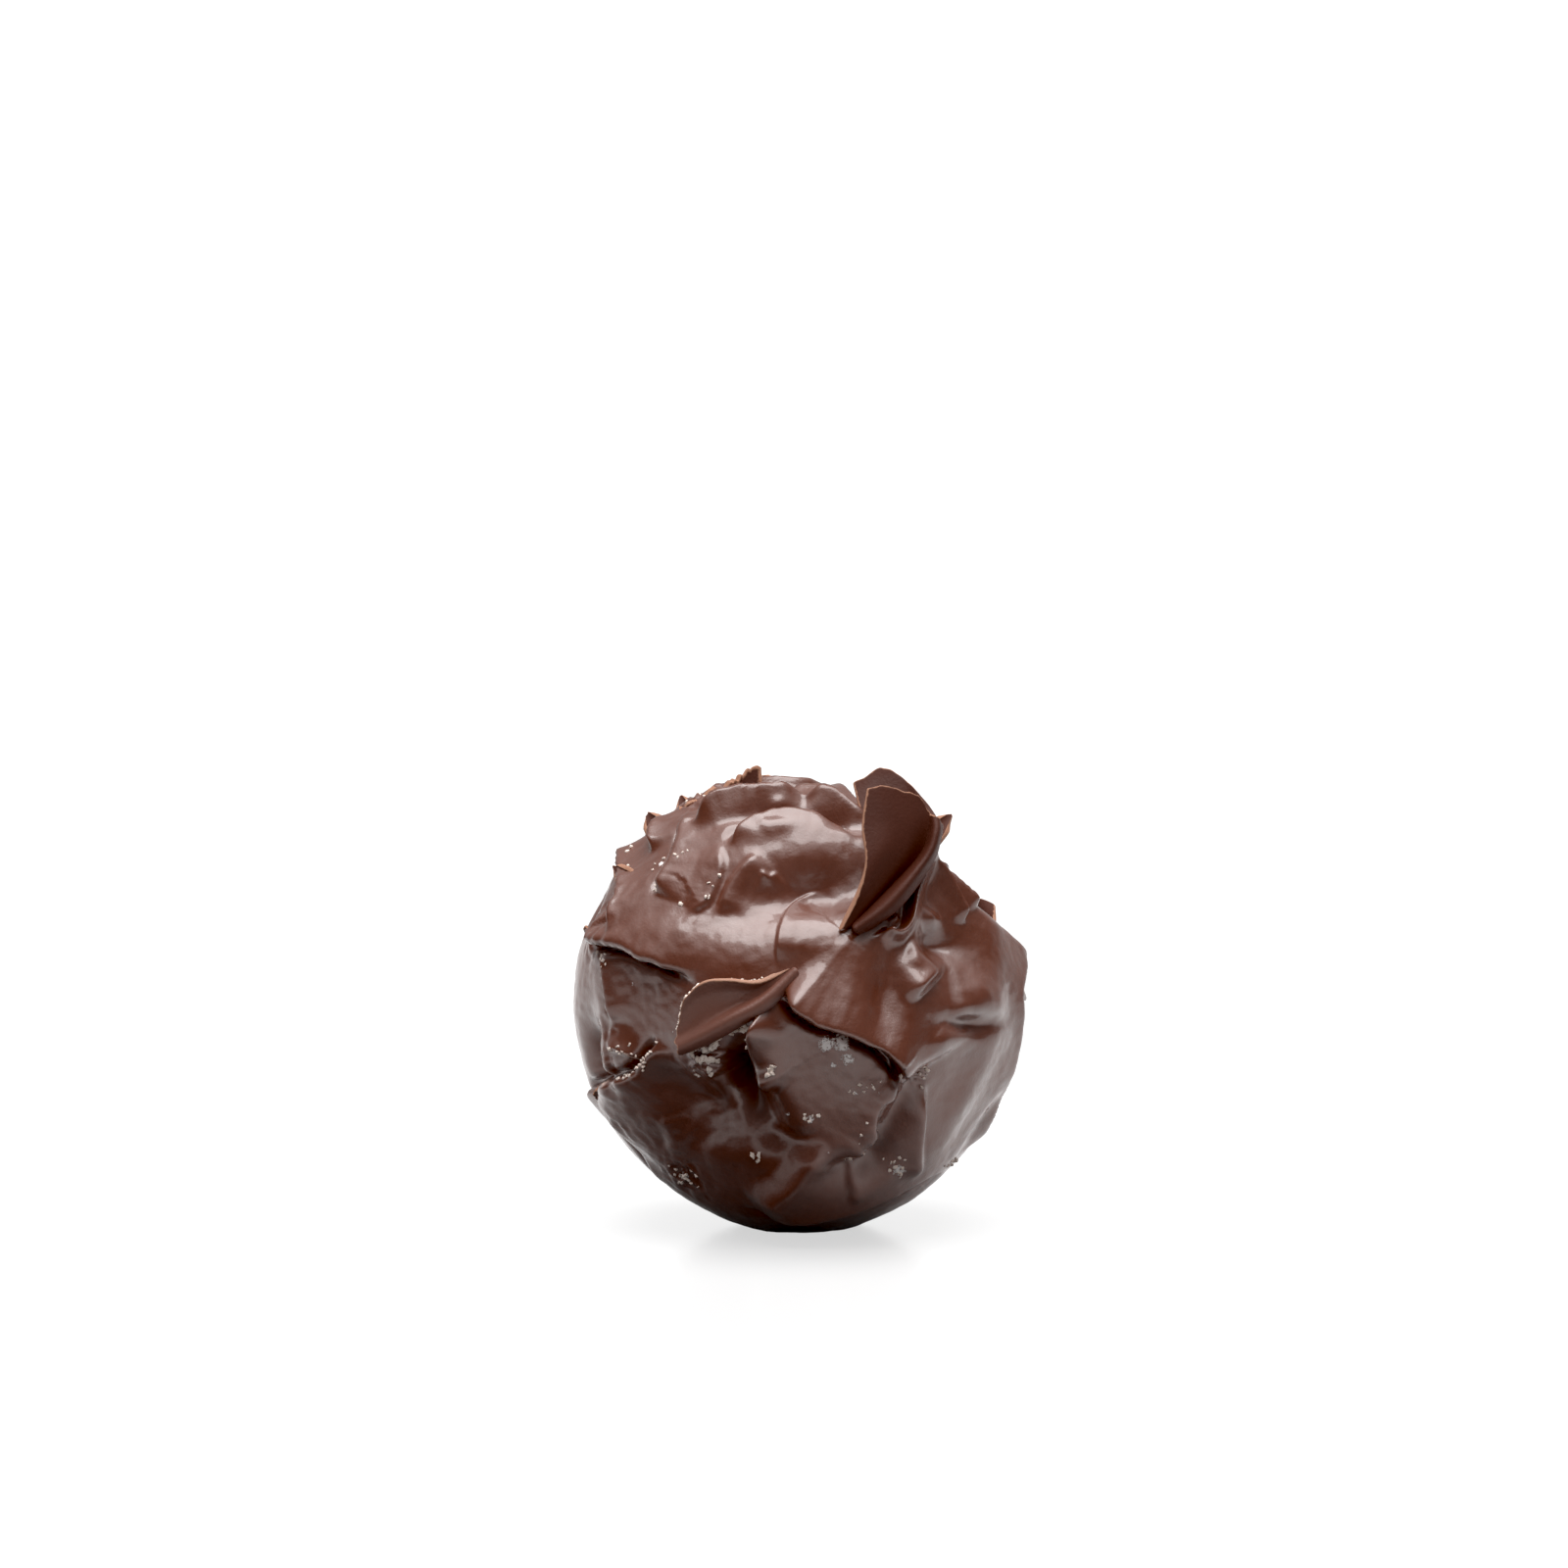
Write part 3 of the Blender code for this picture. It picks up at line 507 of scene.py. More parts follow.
HIDDEN_FORMS = [
    Facet(B, (5.0, 4.5), 0.9, 0.6),
    Facet(B, (-6.0, -3.0), 0.8, 0.6),
    Facet(B, (2.0, -7.5), 0.9, 0.6),
    Facet(L, (-5.5, 0.0), 0.7, 0.6),
    Facet(R, (5.5, -3.0), 0.7, 0.6),
    Facet(T, (-2.0, 6.0), 0.7, 0.6),
    Swell(B, (-3.0, 5.5), -1.3, 4.0, 2.4, -20),
    Swell(B, (4.0, -1.5), -1.2, 3.4, 2.0, 40),
    Swell(L, (-4.5, 5.0), -0.9, 3.4, 2.0, 60),
    Swell(L, (4.6, -1.0), -0.5, 3.0, 1.6, 80),
    Swell(R, (4.0, 4.5), -1.0, 3.8, 2.2, 10),
    Swell(T, (1.5, 2.5), -0.6, 3.6, 2.2, 30),
    Fold(B, [(2.6, 4.8), (1.0, 7.6), (-2.6, 8.8), (-6.0, 7.6), (-8.5, 4.5)], 1.1, 0.6, 1.4, 0.4,
         groove=0.3, ragged=0.05),
    Fold(B, [(-9.8, 1.2), (-6.6, 1.6), (-3.4, 0.4), (-0.8, -1.6), (0.4, -4.8)], 1.1, 0.6, 1.6, 0.5,
         groove=0.4, ragged=0.08, broken_edge_and_glint=0.5),
    Fold(B, [(2.8, 2.6), (5.4, 2.0), (7.8, 0.2), (8.8, -2.8)], 0.9, 0.5, 1.5, 0.4, groove=0.3,
         ragged=0.05),
    Fold(B, [(9.8, 5.4), (7.4, 6.6), (4.6, 9.0), (3.6, 11.0)], 0.8, 0.6, 1.5, 0.3, ragged=0.08,
         broken_edge_and_glint=0.6),
    Fold(B, [(-8.8, -4.6), (-6.2, -5.8), (-3.6, -8.2), (-2.6, -10.8)], 0.7, 0.6, 1.6, 0.3, ragged=0.05),
    Fold(B, [(3.2, -5.2), (4.2, -7.4), (6.4, -8.8), (8.4, -8.8)], 0.7, 0.6, 1.4, 0.3),
    Fold(B, [(-3.4, 4.6), (-2.4, 5.8), (-0.8, 5.6)], 0.4, 0.6, 0.9, 0.1),
    Fold(L, [(-6.0, -9.2), (-5.0, -6.0), (-6.4, -3.0), (-5.4, 0.6)], 0.8, 0.6, 1.5, 0.4, groove=0.2,
         ragged=0.06, broken_edge_and_glint=0.4),
    Fold(L, [(-2.2, 9.0), (-4.6, 8.3), (-6.8, 7.4), (-8.8, 6.0)], 0.55, 0.8, 1.5, 0.2, soft=0.3),
    Fold(L, [(-2.6, -1.6), (-3.6, 1.2), (-2.8, 3.8)], 0.5, 0.9, 1.4, 0.2, soft=0.4),
    Fold(R, [(1.6, 0.6), (4.4, -0.2), (6.4, 1.2), (8.6, 4.2)], 1.0, 0.6, 1.6, 0.4, groove=0.3,
         ragged=0.06, broken_edge_and_glint=0.4),
    Fold(R, [(7.6, -1.4), (5.2, -3.6), (4.6, -6.6), (5.4, -9.0)], 0.6, 0.9, 1.8, 0.3, soft=0.4),
    Fold(R, [(2.2, 9.6), (4.2, 8.4), (6.6, 8.0), (8.6, 6.6)], 0.8, 0.6, 1.3, 0.3, ragged=0.05),
    Fold(T, [(-7.0, 2.2), (-3.6, 3.0), (-0.4, 2.2), (1.8, 4.2)], 0.6, 0.6, 1.2, 0.3),
    Fold(T, [(7.8, 3.4), (4.8, 3.0), (2.2, 5.0), (1.2, 8.0)], 0.7, 0.6, 1.3, 0.4),
    Strokes(B, (0.0, 0.0), 9.0, 0.05, 0.9, heading=35, seed=71),
    Strokes(L, (-4.0, 0.0), 6.0, 0.05, 0.9, heading=70, seed=81),
    Strokes(R, (4.0, 0.0), 6.0, 0.05, 0.9, heading=60, seed=91),
    Strokes(T, (0.0, 4.0), 6.0, 0.05, 0.9, swirl=(2.0, 2.0), seed=101),
    Bloom(B, (-4.4, 2.6), 1.0, 0.6),
    Bloom(B, (5.0, -4.0), 1.2, 0.5),
    Bloom(L, (-6.0, -2.0), 1.0, 0.5),
    Bloom(R, (6.0, -1.0), 1.0, 0.5),
]


def ball_directions(cuts: int, pull: float) -> tuple[np.ndarray, np.ndarray]:
    """The directions and faces of a ball made of six square grids.

    Args:
        cuts: Faces along each edge of a grid.
        pull: How much closer together the faces are at the front than at the sides.

    Returns:
        The unit directions, one a row, and the corners of each face.
    """
    t = np.tan(np.linspace(-1, 1, cuts + 1) * math.pi / 4)
    x, y = np.meshgrid(t, t, indexing="ij")
    one = np.ones_like(x)
    sheets = [(x, y, one), (y, x, -one), (one, x, y), (-one, y, x), (y, one, x), (x, -one, y)]
    points = np.concatenate([np.stack(s, -1).reshape(-1, 3) for s in sheets])
    row = np.arange(cuts)
    a = (row[:, None] * (cuts + 1) + row[None, :]).ravel()
    quads = np.stack([a, a + cuts + 1, a + cuts + 2, a + 1], 1)
    faces = np.concatenate([quads + k * (cuts + 1) ** 2 for k in range(6)])
    _, first, merged = np.unique(np.round(points, 6), axis=0, return_index=True, return_inverse=True)
    directions = points[first]
    directions /= np.linalg.norm(directions, axis=1)[:, None]
    directions = directions + pull * Side.FRONT.axes()[2]
    directions /= np.linalg.norm(directions, axis=1)[:, None]
    return directions, merged.reshape(-1)[faces]


def keep_shape(piece: bpy.types.Object) -> None:
    """Turns what a piece's modifiers make of it into its plain mesh."""
    depsgraph = bpy.context.evaluated_depsgraph_get()
    mesh = bpy.data.meshes.new_from_object(piece.evaluated_get(depsgraph))
    piece.modifiers.clear()
    piece.data = mesh


def finish_piece(piece: bpy.types.Object, material: bpy.types.Material) -> bpy.types.Object:
    """Dresses a piece and ties it to the praline.

    Args:
        piece: The finished mesh object.
        material: Its material.

    Returns:
        The same object.
    """
    if not piece.data.materials:
        piece.data.materials.append(material)
    piece.data.shade_smooth()
    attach(piece, "root")
    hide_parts("praline")
    LOG.info("%s: %d faces", piece.name, len(piece.data.polygons))
    return piece


def add_piece(name: str, points: np.ndarray, faces: list, masks: dict[str, np.ndarray]) -> bpy.types.Object:
    """Makes an object from points in mm around the ball's middle.

    Args:
        name: The object's name.
        points: The points, one a row.
        faces: The corners of each face.
        masks: Values for the material to read, one for each point.

    Returns:
        The new object, at the origin.
    """
    mesh = bpy.data.meshes.new(name)
    mesh.from_pydata((points * MM + np.array(BALL_MIDDLE)).tolist(), [], faces)
    for label, values in masks.items():
        mesh.attributes.new(label, "FLOAT", "POINT").data.foreach_set("value", values.astype(np.float32))
    mesh.update()
    piece = bpy.data.objects.new(name, mesh)
    bpy.context.scene.collection.objects.link(piece)
    return piece


@dataclass
class Coat:
    """The ball and its smeared coat, in one skin."""

    cuts: int = 126
    pull: float = 0.35
    lumps: float = 0.09
    pits: float = 0.025
    lump_scales: tuple[float, float] = (3.1, 7.3)
    pit_scale: float = 26.0

    def build(self, material: bpy.types.Material) -> bpy.types.Object:
        """Shapes the coat and dresses it."""
        directions, faces = ball_directions(self.cuts, self.pull)
        relief = Relief(directions)
        for form in FRONT_FLATS + FRONT_FOLDS + HIDDEN_FORMS + FRONT_DETAIL:
            form.press(relief)
        relief.radius += self.unevenness(directions)
        points = relief.places()
        points[:, 2] = np.maximum(points[:, 2], -REST_HEIGHT)
        masks = {"rim": relief.rim, "bloom": relief.bloom}
        return finish_piece(add_piece("coat", points, faces.tolist(), masks), material)

    def unevenness(self, directions: np.ndarray) -> np.ndarray:
        """Soft lumps and shallow pits all over the ball, in mm."""
        heights = []
        for d in directions:
            v = Vector(d)
            lump = noise.noise(v * self.lump_scales[0]) + 0.5 * noise.noise(v * self.lump_scales[1])
            pit = noise.noise(v * self.pit_scale)
            heights.append(self.lumps * lump + self.pits * pit)
        return np.array(heights)


@dataclass
class Leaf:
    """A thin leaf of chocolate that curls off the coat, lofted through lines from root to rim.

    Its outer part, from the share torn_from on, is torn in long and short waves, in steps of its grid.
    """

    name: str
    side: Side
    lines: list[list[SpacePlace]]
    thickness: float
    ragged: float = 0.12
    # How wide the pale edge is, whose colour is partly painted light on and through the thin edge.
    pale: float = 0.14
    grid: tuple[int, int] = (40, 40)
    seed: int = 5
    torn_from: float = 0.55
    long_wave: float = 3.1
    short_wave: float = 1.3

    def build(self, material: bpy.types.Material) -> bpy.types.Object:
        """Lofts the leaf, roughens its free edges, gives it its thickness and dresses it."""
        across, along = self.grid
        lines = np.array([[self.side.point(*p) for p in line] for line in self.lines])
        sheet = smooth_route(lines, across)
        sheet = smooth_route(sheet.transpose(1, 0, 2), along).transpose(1, 0, 2)
        sheet = self.tear(sheet)
        edge = self.edge_mask(sheet)
        corner = np.arange(across * along).reshape(across, along)
        faces = np.stack([corner[:-1, :-1], corner[1:, :-1], corner[1:, 1:], corner[:-1, 1:]], -1)
        points = sheet.reshape(-1, 3)
        masks = {"rim": edge.ravel(), "bloom": np.zeros(len(points))}
        piece = add_piece(self.name, points, faces.reshape(-1, 4).tolist(), masks)
        body = piece.modifiers.new("body", "SOLIDIFY")
        body.thickness = self.thickness * MM
        body.offset = 0.0
        soft = piece.modifiers.new("soft", "SUBSURF")
        soft.levels = soft.render_levels = 1
        keep_shape(piece)
        return finish_piece(piece, material)

    def tear(self, sheet: np.ndarray) -> np.ndarray:
        """Moves the free edges in and out along the leaf, as a torn edge does."""
        across, along = sheet.shape[:2]
        steps = np.arange(across)
        reach = smooth_step((np.arange(along) / along - self.torn_from) / (1.0 - self.torn_from))
        wave = wander(steps / self.long_wave, self.seed)
        wave += 0.6 * wander(steps / self.short_wave, self.seed + 1)
        run = sheet[:, -1] - sheet[:, -2]
        run /= np.linalg.norm(run, axis=1)[:, None]
        return sheet + self.ragged * wave[:, None, None] * reach[None, :, None] * run[:, None]

    def edge_mask(self, sheet: np.ndarray) -> np.ndarray:
        """How near each point is to a free edge, 1 at the edge and 0 inside."""
        across, along = sheet.shape[:2]
        top = np.linalg.norm(sheet - sheet[:, -1:], axis=2)
        first = np.linalg.norm(sheet - sheet[:1], axis=2)
        last = np.linalg.norm(sheet - sheet[-1:], axis=2)
        near = np.minimum(np.minimum(top, first), last)
        # This mask places the pale edge colour, partly painted light glowing through the thin edge.
        return np.exp(-((near / self.pale) ** 2))


CURL_LINES = [
    [(2.25, 4.05, 12.75), (3.25, 6.1, 12.6), (3.75, 8.0, 12.2), (3.55, 10.0, 11.6), (3.85, 12.2, 10.9)],
    [(2.45, 4.1, 12.65), (3.9, 6.5, 12.15), (4.8, 8.6, 11.75), (4.9, 10.4, 11.2), (5.1, 12.4, 10.6)],
    [(2.7, 4.2, 12.5), (4.5, 6.4, 11.7), (5.9, 8.4, 10.9), (6.4, 10.2, 10.5), (6.6, 12.0, 10.0)],
    [(3.0, 4.3, 12.3), (4.9, 6.2, 11.2), (6.8, 8.2, 10.1), (7.4, 9.6, 9.8), (7.5, 11.0, 9.5)],
    [(3.05, 4.0, 12.9), (5.1, 5.6, 12.5), (7.3, 8.2, 11.2), (7.9, 9.7, 10.5), (7.95, 10.5, 9.8)],
    [(3.3, 3.9, 12.2), (5.5, 5.3, 11.6), (7.5, 7.9, 9.6), (8.0, 9.4, 8.4), (8.1, 10.4, 7.0)],
    [(3.5, 4.4, 11.6), (6.2, 6.6, 9.4), (7.3, 8.6, 7.6), (7.2, 10.6, 6.2), (6.5, 12.6, 5.2)],
    [(3.4, 4.8, 11.4), (5.2, 7.4, 8.9), (5.4, 9.4, 7.0), (5.0, 11.6, 5.6), (4.9, 13.6, 4.6)],
    [(3.2, 5.0, 11.2), (4.2, 7.6, 9.0), (3.9, 9.4, 7.2), (3.5, 11.0, 6.0), (3.1, 12.7, 4.6)],
]

LEAF_LINES = [
    [(-0.35, 2.1, 13.05), (-2.3, 1.15, 13.35), (-4.1, 1.25, 13.2), (-5.6, 1.1, 12.75), (-6.7, 0.1, 12.1)],
    [(-0.35, 2.0, 13.0), (-2.4, 0.75, 12.95), (-4.3, 0.45, 12.7), (-5.8, 0.0, 12.2), (-7.0, -0.95, 11.7)],
    [(-0.3, 1.9, 13.0), (-2.3, 0.35, 12.9), (-4.1, -0.5, 12.65), (-5.7, -1.3, 12.15), (-7.15, -2.1, 11.4)],
    [(-0.15, 1.8, 13.3), (-2.0, 0.1, 13.55), (-3.8, -0.95, 13.4), (-5.5, -1.95, 12.75), (-7.1, -2.75, 11.8)],
    [(-0.05, 1.4, 13.1), (-1.75, -0.3, 13.3), (-3.5, -1.4, 13.1), (-5.3, -2.4, 12.4), (-6.95, -3.05, 11.5)],
    [(-0.3, 1.2, 12.3), (-1.9, -0.3, 12.3), (-3.7, -1.2, 12.0), (-5.4, -2.1, 11.3), (-6.9, -2.8, 10.6)],
]

CREST_LINES = [
    [(-7.0, 10.2, 2.5), (-7.1, 11.0, 2.6), (-7.1, 11.5, 3.0)],
    [(-6.0, 10.7, 2.5), (-6.05, 11.4, 2.9), (-6.0, 12.0, 3.1)],
    [(-5.0, 11.1, 2.5), (-5.0, 11.9, 2.6), (-5.0, 12.4, 2.8)],
    [(-4.1, 11.4, 2.4), (-4.05, 12.3, 2.2), (-4.0, 12.8, 2.3)],
    [(-3.3, 11.7, 2.2), (-3.3, 12.8, 1.9), (-3.3, 13.5, 1.8)],
    [(-2.2, 11.9, 1.8), (-2.25, 13.0, 1.6), (-2.3, 13.9, 1.4)],
]


@dataclass(frozen=True)
class Petal:
    """A small upright petal, from its root inside the ball to its rounded tip."""

    side: Side
    root: Place
    tip: Place
    width: float
    lift: float
    cup: float
    root_depth: float = 0.9
    tip_narrowing: float = 0.3
    tip_rounding: float = 0.4

    def lines(self) -> list[list[SpacePlace]]:
        """The petal's lines, from root to tip."""
        low = self.side.direction(*self.root) * (BALL_RADIUS - self.root_depth)
        high = self.side.direction(*self.tip) * (BALL_RADIUS + self.lift)
        along = high - low
        outward = low / np.linalg.norm(low)
        across = np.cross(outward, along / np.linalg.norm(along))
        lines = []
        for edge in (-1.0, -0.6, -0.2, 0.2, 0.6, 1.0):
            line = []
            for share in (0.0, 0.35, 0.7, 1.0):
                spread = self.width * 0.5 * edge * (1.0 - self.tip_narrowing * share**2)
                curl = self.cup * edge * edge * (0.4 + share)
                reach = share * (1.0 - self.tip_rounding * edge * edge)
                p = low + along * reach + across * spread + outward * curl
                line.append(tuple(p @ axis for axis in self.side.axes()))
            lines.append(line)
        return lines


PETALS = [
    Petal(F, (-8.1, 9.6), (-8.9, 10.9), 1.7, 0.9, 0.3),
    Petal(F, (-9.6, 6.4), (-10.5, 7.6), 1.6, 0.5, 0.3),
    Petal(F, (-6.6, 10.2), (-6.9, 11.9), 1.5, 0.6, 0.3),
    Petal(F, (-12.4, 2.4), (-12.2, 4.2), 1.2, 0.45, -0.2),
    Petal(F, (-10.4, -6.6), (-11.8, -5.2), 2.4, 0.35, 0.2),
    Petal(F, (7.6, 9.6), (8.3, 10.2), 1.6, 0.9, 0.2),
    Petal(B, (-1.6, 6.2), (-4.6, 8.4), 3.6, 0.9, 0.7),
    Petal(B, (4.0, -2.6), (6.6, 0.4), 3.4, 1.0, 0.6),
    Petal(B, (-6.2, -2.4), (-8.2, -0.4), 2.6, 0.7, 0.5),
    Petal(B, (6.4, 5.6), (6.2, 7.8), 2.2, 0.7, 0.4),
    Petal(B, (-0.6, -6.0), (-2.8, -5.0), 2.4, 0.8, 0.5),
    Petal(L, (-4.4, 1.6), (-6.6, 3.6), 3.0, 0.9, 0.6),
    Petal(L, (-5.2, -5.2), (-7.2, -4.0), 2.2, 0.7, 0.4),
    Petal(R, (5.2, 2.4), (7.6, 4.6), 3.2, 0.9, 0.6),
    Petal(R, (5.4, -4.6), (7.6, -3.2), 2.4, 0.7, 0.5),
    Petal(T, (0.2, 3.6), (-2.6, 5.0), 2.8, 0.5, 0.4),
]


class NodeTree:
    """A short way to add and join nodes."""

    def __init__(self, tree: bpy.types.NodeTree) -> None:
        """Takes the tree to work on."""
        self.tree = tree

    def add(self, kind: str, inputs: dict | None = None, **settings: object) -> bpy.types.Node:
        """Adds a node.

        Args:
            kind: The node's type.
            inputs: A value or an output socket for each input, by name or number.
            **settings: The node's own properties.

        Returns:
            The new node.
        """
        made = self.tree.nodes.new(kind)
        for key, value in settings.items():
            setattr(made, key, value)
        for key, value in (inputs or {}).items():
            if isinstance(value, Socket):
                self.tree.links.new(value, made.inputs[key])
            else:
                made.inputs[key].default_value = value
        return made

    def join(self, output: Socket, entry: Socket) -> None:
        """Links an output to an input."""
        self.tree.links.new(output, entry)

    def math(self, operation: str, *values: object) -> Socket:
        """The result of one arithmetic step on numbers or sockets."""
        return self.add("ShaderNodeMath", dict(enumerate(values)), operation=operation).outputs[0]

    def rescale(
        self, value: Socket, start: float, end: float, low: float = 0.0, high: float = 1.0,
        ease: str = "LINEAR",
    ) -> Socket:
        """A value that goes from low to high as the given one goes from its start to its end."""
        ranges = {"Value": value, "From Min": start, "From Max": end, "To Min": low, "To Max": high}
        return self.add("ShaderNodeMapRange", ranges, interpolation_type=ease).outputs["Result"]

    def blend(self, factor: Socket, first: object, second: object) -> Socket:
        """A number or socket that goes from the first to the second as the factor goes from 0 to 1."""
        return self.add("ShaderNodeMix", {"Factor": factor, 2: first, 3: second}).outputs[0]

    def tint(self, factor: Socket, first: object, second: object) -> Socket:
        """A colour that goes from the first to the second as the factor goes from 0 to 1."""
        return self.add("ShaderNodeMix", {"Factor": factor, 6: first, 7: second}, data_type="RGBA").outputs[2]

    def noise(self, place: Socket, scale: object, detail: float, rough: float = 0.5) -> Socket:
        """A noise texture's value at a place."""
        settings = {"Vector": place, "Scale": scale, "Detail": detail, "Roughness": rough}
        return self.add("ShaderNodeTexNoise", settings).outputs["Fac"]

    def random(self, low: object, high: object, seed: int) -> Socket:
        """A random vector for each point, between two ends."""
        ends = {0: low, 1: high, "Seed": seed}
        return self.add("FunctionNodeRandomValue", ends, data_type="FLOAT_VECTOR").outputs[0]


# How fine the noises are that break up a surface: its even grain, its broad patches and its crumbly edges.
FINE_GRAIN, BROAD_GRAIN, CRUMBLY_GRAIN = 5200.0, 420.0, 3600.0
# How much less and how much more rough the broad patches are than the finish says.
WORN_RANGE = (-0.07, 0.09)


def grain_group() -> bpy.types.NodeTree:
    """The fine grain and the uneven gloss that every chocolate surface here shares."""
    group = bpy.data.node_groups.new("chocolate_grain", "ShaderNodeTree")
    face = group.interface
    face.new_socket("Roughness", in_out="INPUT", socket_type="NodeSocketFloat")
    for name in ("Height", "Roughness", "Patches"):
        face.new_socket(name, in_out="OUTPUT", socket_type="NodeSocketFloat")
    t = NodeTree(group)
    source = t.add("NodeGroupInput").outputs
    place = t.add("ShaderNodeTexCoord").outputs["Object"]
    broad = t.noise(place, BROAD_GRAIN, 4.0, 0.6)
    worn = t.rescale(broad, 0.3, 0.7, *WORN_RANGE)
    results = {
        "Height": t.noise(place, FINE_GRAIN, 2.0, 0.6),
        "Roughness": t.math("ADD", source["Roughness"], worn),
        "Patches": broad,
    }
    t.add("NodeGroupOutput", results)
    return group


@dataclass(frozen=True)
class ChocolateFinish:
    """How a chocolate surface looks: its dark body, its pale broken edges, its bloom and its gloss.

    Between the ends of its two ranges, a broken edge and the bloom go from hidden to full. The
    pale edge colour is partly the broken chocolate's own and partly a painted highlight where an
    edge catches light.
    """

    name: str
    body: tuple[float, float, float] = (0.094, 0.024, 0.0106)
    warm: tuple[float, float, float] = (0.118, 0.031, 0.0145)
    # The pale edge colour: partly the broken chocolate's own, partly a painted highlight.
    broken_edge_and_glint: tuple[float, float, float] = (0.62, 0.44, 0.37)
    frost: tuple[float, float, float] = (0.85, 0.78, 0.76)
    roughness: float = 0.36
    glaze: float = 0.45
    relief: float = 0.00003
    shine: float = 1.55
    edge_range: tuple[float, float] = (0.85, 1.25)
    bloom_range: tuple[float, float] = (0.32, 0.42)
    dull_roughness: float = 0.7
    dull_height: float = 1.2
    glaze_roughness: float = 0.1

    def make(self, grain: bpy.types.NodeTree) -> bpy.types.Material:
        """Builds the material.

        Args:
            grain: The shared grain group.

        Returns:
            The material.
        """
        material = bpy.data.materials.new(self.name)
        material.use_nodes = True
        t = NodeTree(material.node_tree)
        shader = material.node_tree.nodes["Principled BSDF"]
        skin = t.add("ShaderNodeGroup", {"Roughness": self.roughness}, node_tree=grain).outputs
        place = t.add("ShaderNodeTexCoord").outputs["Object"]
        rim = t.add("ShaderNodeAttribute", attribute_name="rim").outputs["Fac"]
        bloom = t.add("ShaderNodeAttribute", attribute_name="bloom").outputs["Fac"]
        edge = t.rescale(t.math("ADD", rim, t.noise(place, CRUMBLY_GRAIN, 2.0)), *self.edge_range)
        speckles = t.math("MULTIPLY", bloom, t.noise(place, FINE_GRAIN, 3.0, 0.7))
        dusty = t.rescale(speckles, *self.bloom_range)
        pale = t.math("MAXIMUM", edge, dusty)
        colour = t.tint(skin["Patches"], (*self.body, 1.0), (*self.warm, 1.0))
        # Pale edge colour: partly the broken chocolate's own colour, partly a painted highlight.
        colour = t.tint(edge, colour, (*self.broken_edge_and_glint, 1.0))
        colour = t.tint(dusty, colour, (*self.frost, 1.0))
        rough = t.blend(pale, skin["Roughness"], self.dull_roughness)
        height = t.math("MULTIPLY_ADD", pale, self.dull_height, skin["Height"])
        bump = t.add("ShaderNodeBump", {"Height": height, "Distance": self.relief, "Strength": 0.5})
        t.join(colour, shader.inputs["Base Color"])
        t.join(rough, shader.inputs["Roughness"])
        t.join(bump.outputs["Normal"], shader.inputs["Normal"])
        shader.inputs["IOR"].default_value = self.shine
        shader.inputs["Coat Weight"].default_value = self.glaze
        shader.inputs["Coat Roughness"].default_value = self.glaze_roughness
        return material


# The flakes' orange-brown edge colour: partly the torn edge's own colour, partly painted light glowing
# through and catching the thin edges.
FLAKE_EDGE_AND_GLOW = (0.34, 0.17, 0.11)

COAT_FINISH = ChocolateFinish("chocolate_coat")
# A darker copy of the same chocolate, with painted shade in its colour for the flakes' shaded faces.
SHADED_FLAKE_FINISH = ChocolateFinish(
    "chocolate_flake_painted_shade", body=(0.048, 0.012, 0.006), warm=(0.066, 0.017, 0.009), broken_edge_and_glint=FLAKE_EDGE_AND_GLOW,
    roughness=0.6, glaze=0.0, relief=0.00005, shine=1.29,
)
# A lighter, greyer copy of the same chocolate, with a painted sheen in its colour.
LEAF_FINISH_WITH_SHEEN = ChocolateFinish(
    "chocolate_leaf_painted_sheen", body=(0.105, 0.036, 0.023), warm=(0.135, 0.049, 0.032), broken_edge_and_glint=FLAKE_EDGE_AND_GLOW,
    roughness=0.5, glaze=0.1, relief=0.00005, shine=1.45,
)
# The crumbs' near-white colour is partly their own pale colour and partly painted light that makes up for the
# shade they lie in.
CRUMB_FINISH_WITH_PAINTED_LIGHT = ChocolateFinish(
    "chocolate_crumb_with_painted_light", body=(0.78, 0.60, 0.50), warm=(0.95, 0.86, 0.80), roughness=0.6, glaze=0.0
)


def at_front(*routes: list[Place]) -> list[tuple[Side, list[Place]]]:
    """Runs of crumbs that all lie at the front."""
    return [(F, route) for route in routes]


COARSE_RUNS = at_front(
    [(-7.1, -2.8), (-6.4, -3.1), (-5.8, -3.3), (-5.2, -3.0), (-4.7, -2.6)],
    [(-4.9, -2.2), (-4.3, -1.6), (-3.7, -1.4), (-3.2, -1.8), (-2.7, -2.4)],
    [(-4.1, -2.0), (-3.4, -2.1)],
    [(-5.1, -3.6), (-4.5, -4.4)],
    [(-2.0, -4.4), (-1.6, -3.8)],
    [(-3.0, -9.2), (-2.6, -9.4)],
    [(-6.9, -5.1), (-6.8, -5.3)],
)

LEAF_RUNS = at_front(
    [(-7.1, -2.2), (-7.0, -0.6), (-6.5, 0.4), (-5.7, 1.1)],
    [(-5.6, 1.1), (-4.4, 1.3), (-3.2, 1.2), (-2.0, 1.2)],
    [(-7.2, -2.8), (-6.4, -2.75), (-5.4, -2.3), (-4.6, -1.9)],
    [(-7.1, -2.9), (-6.6, -2.9), (-6.0, -2.6)],
)

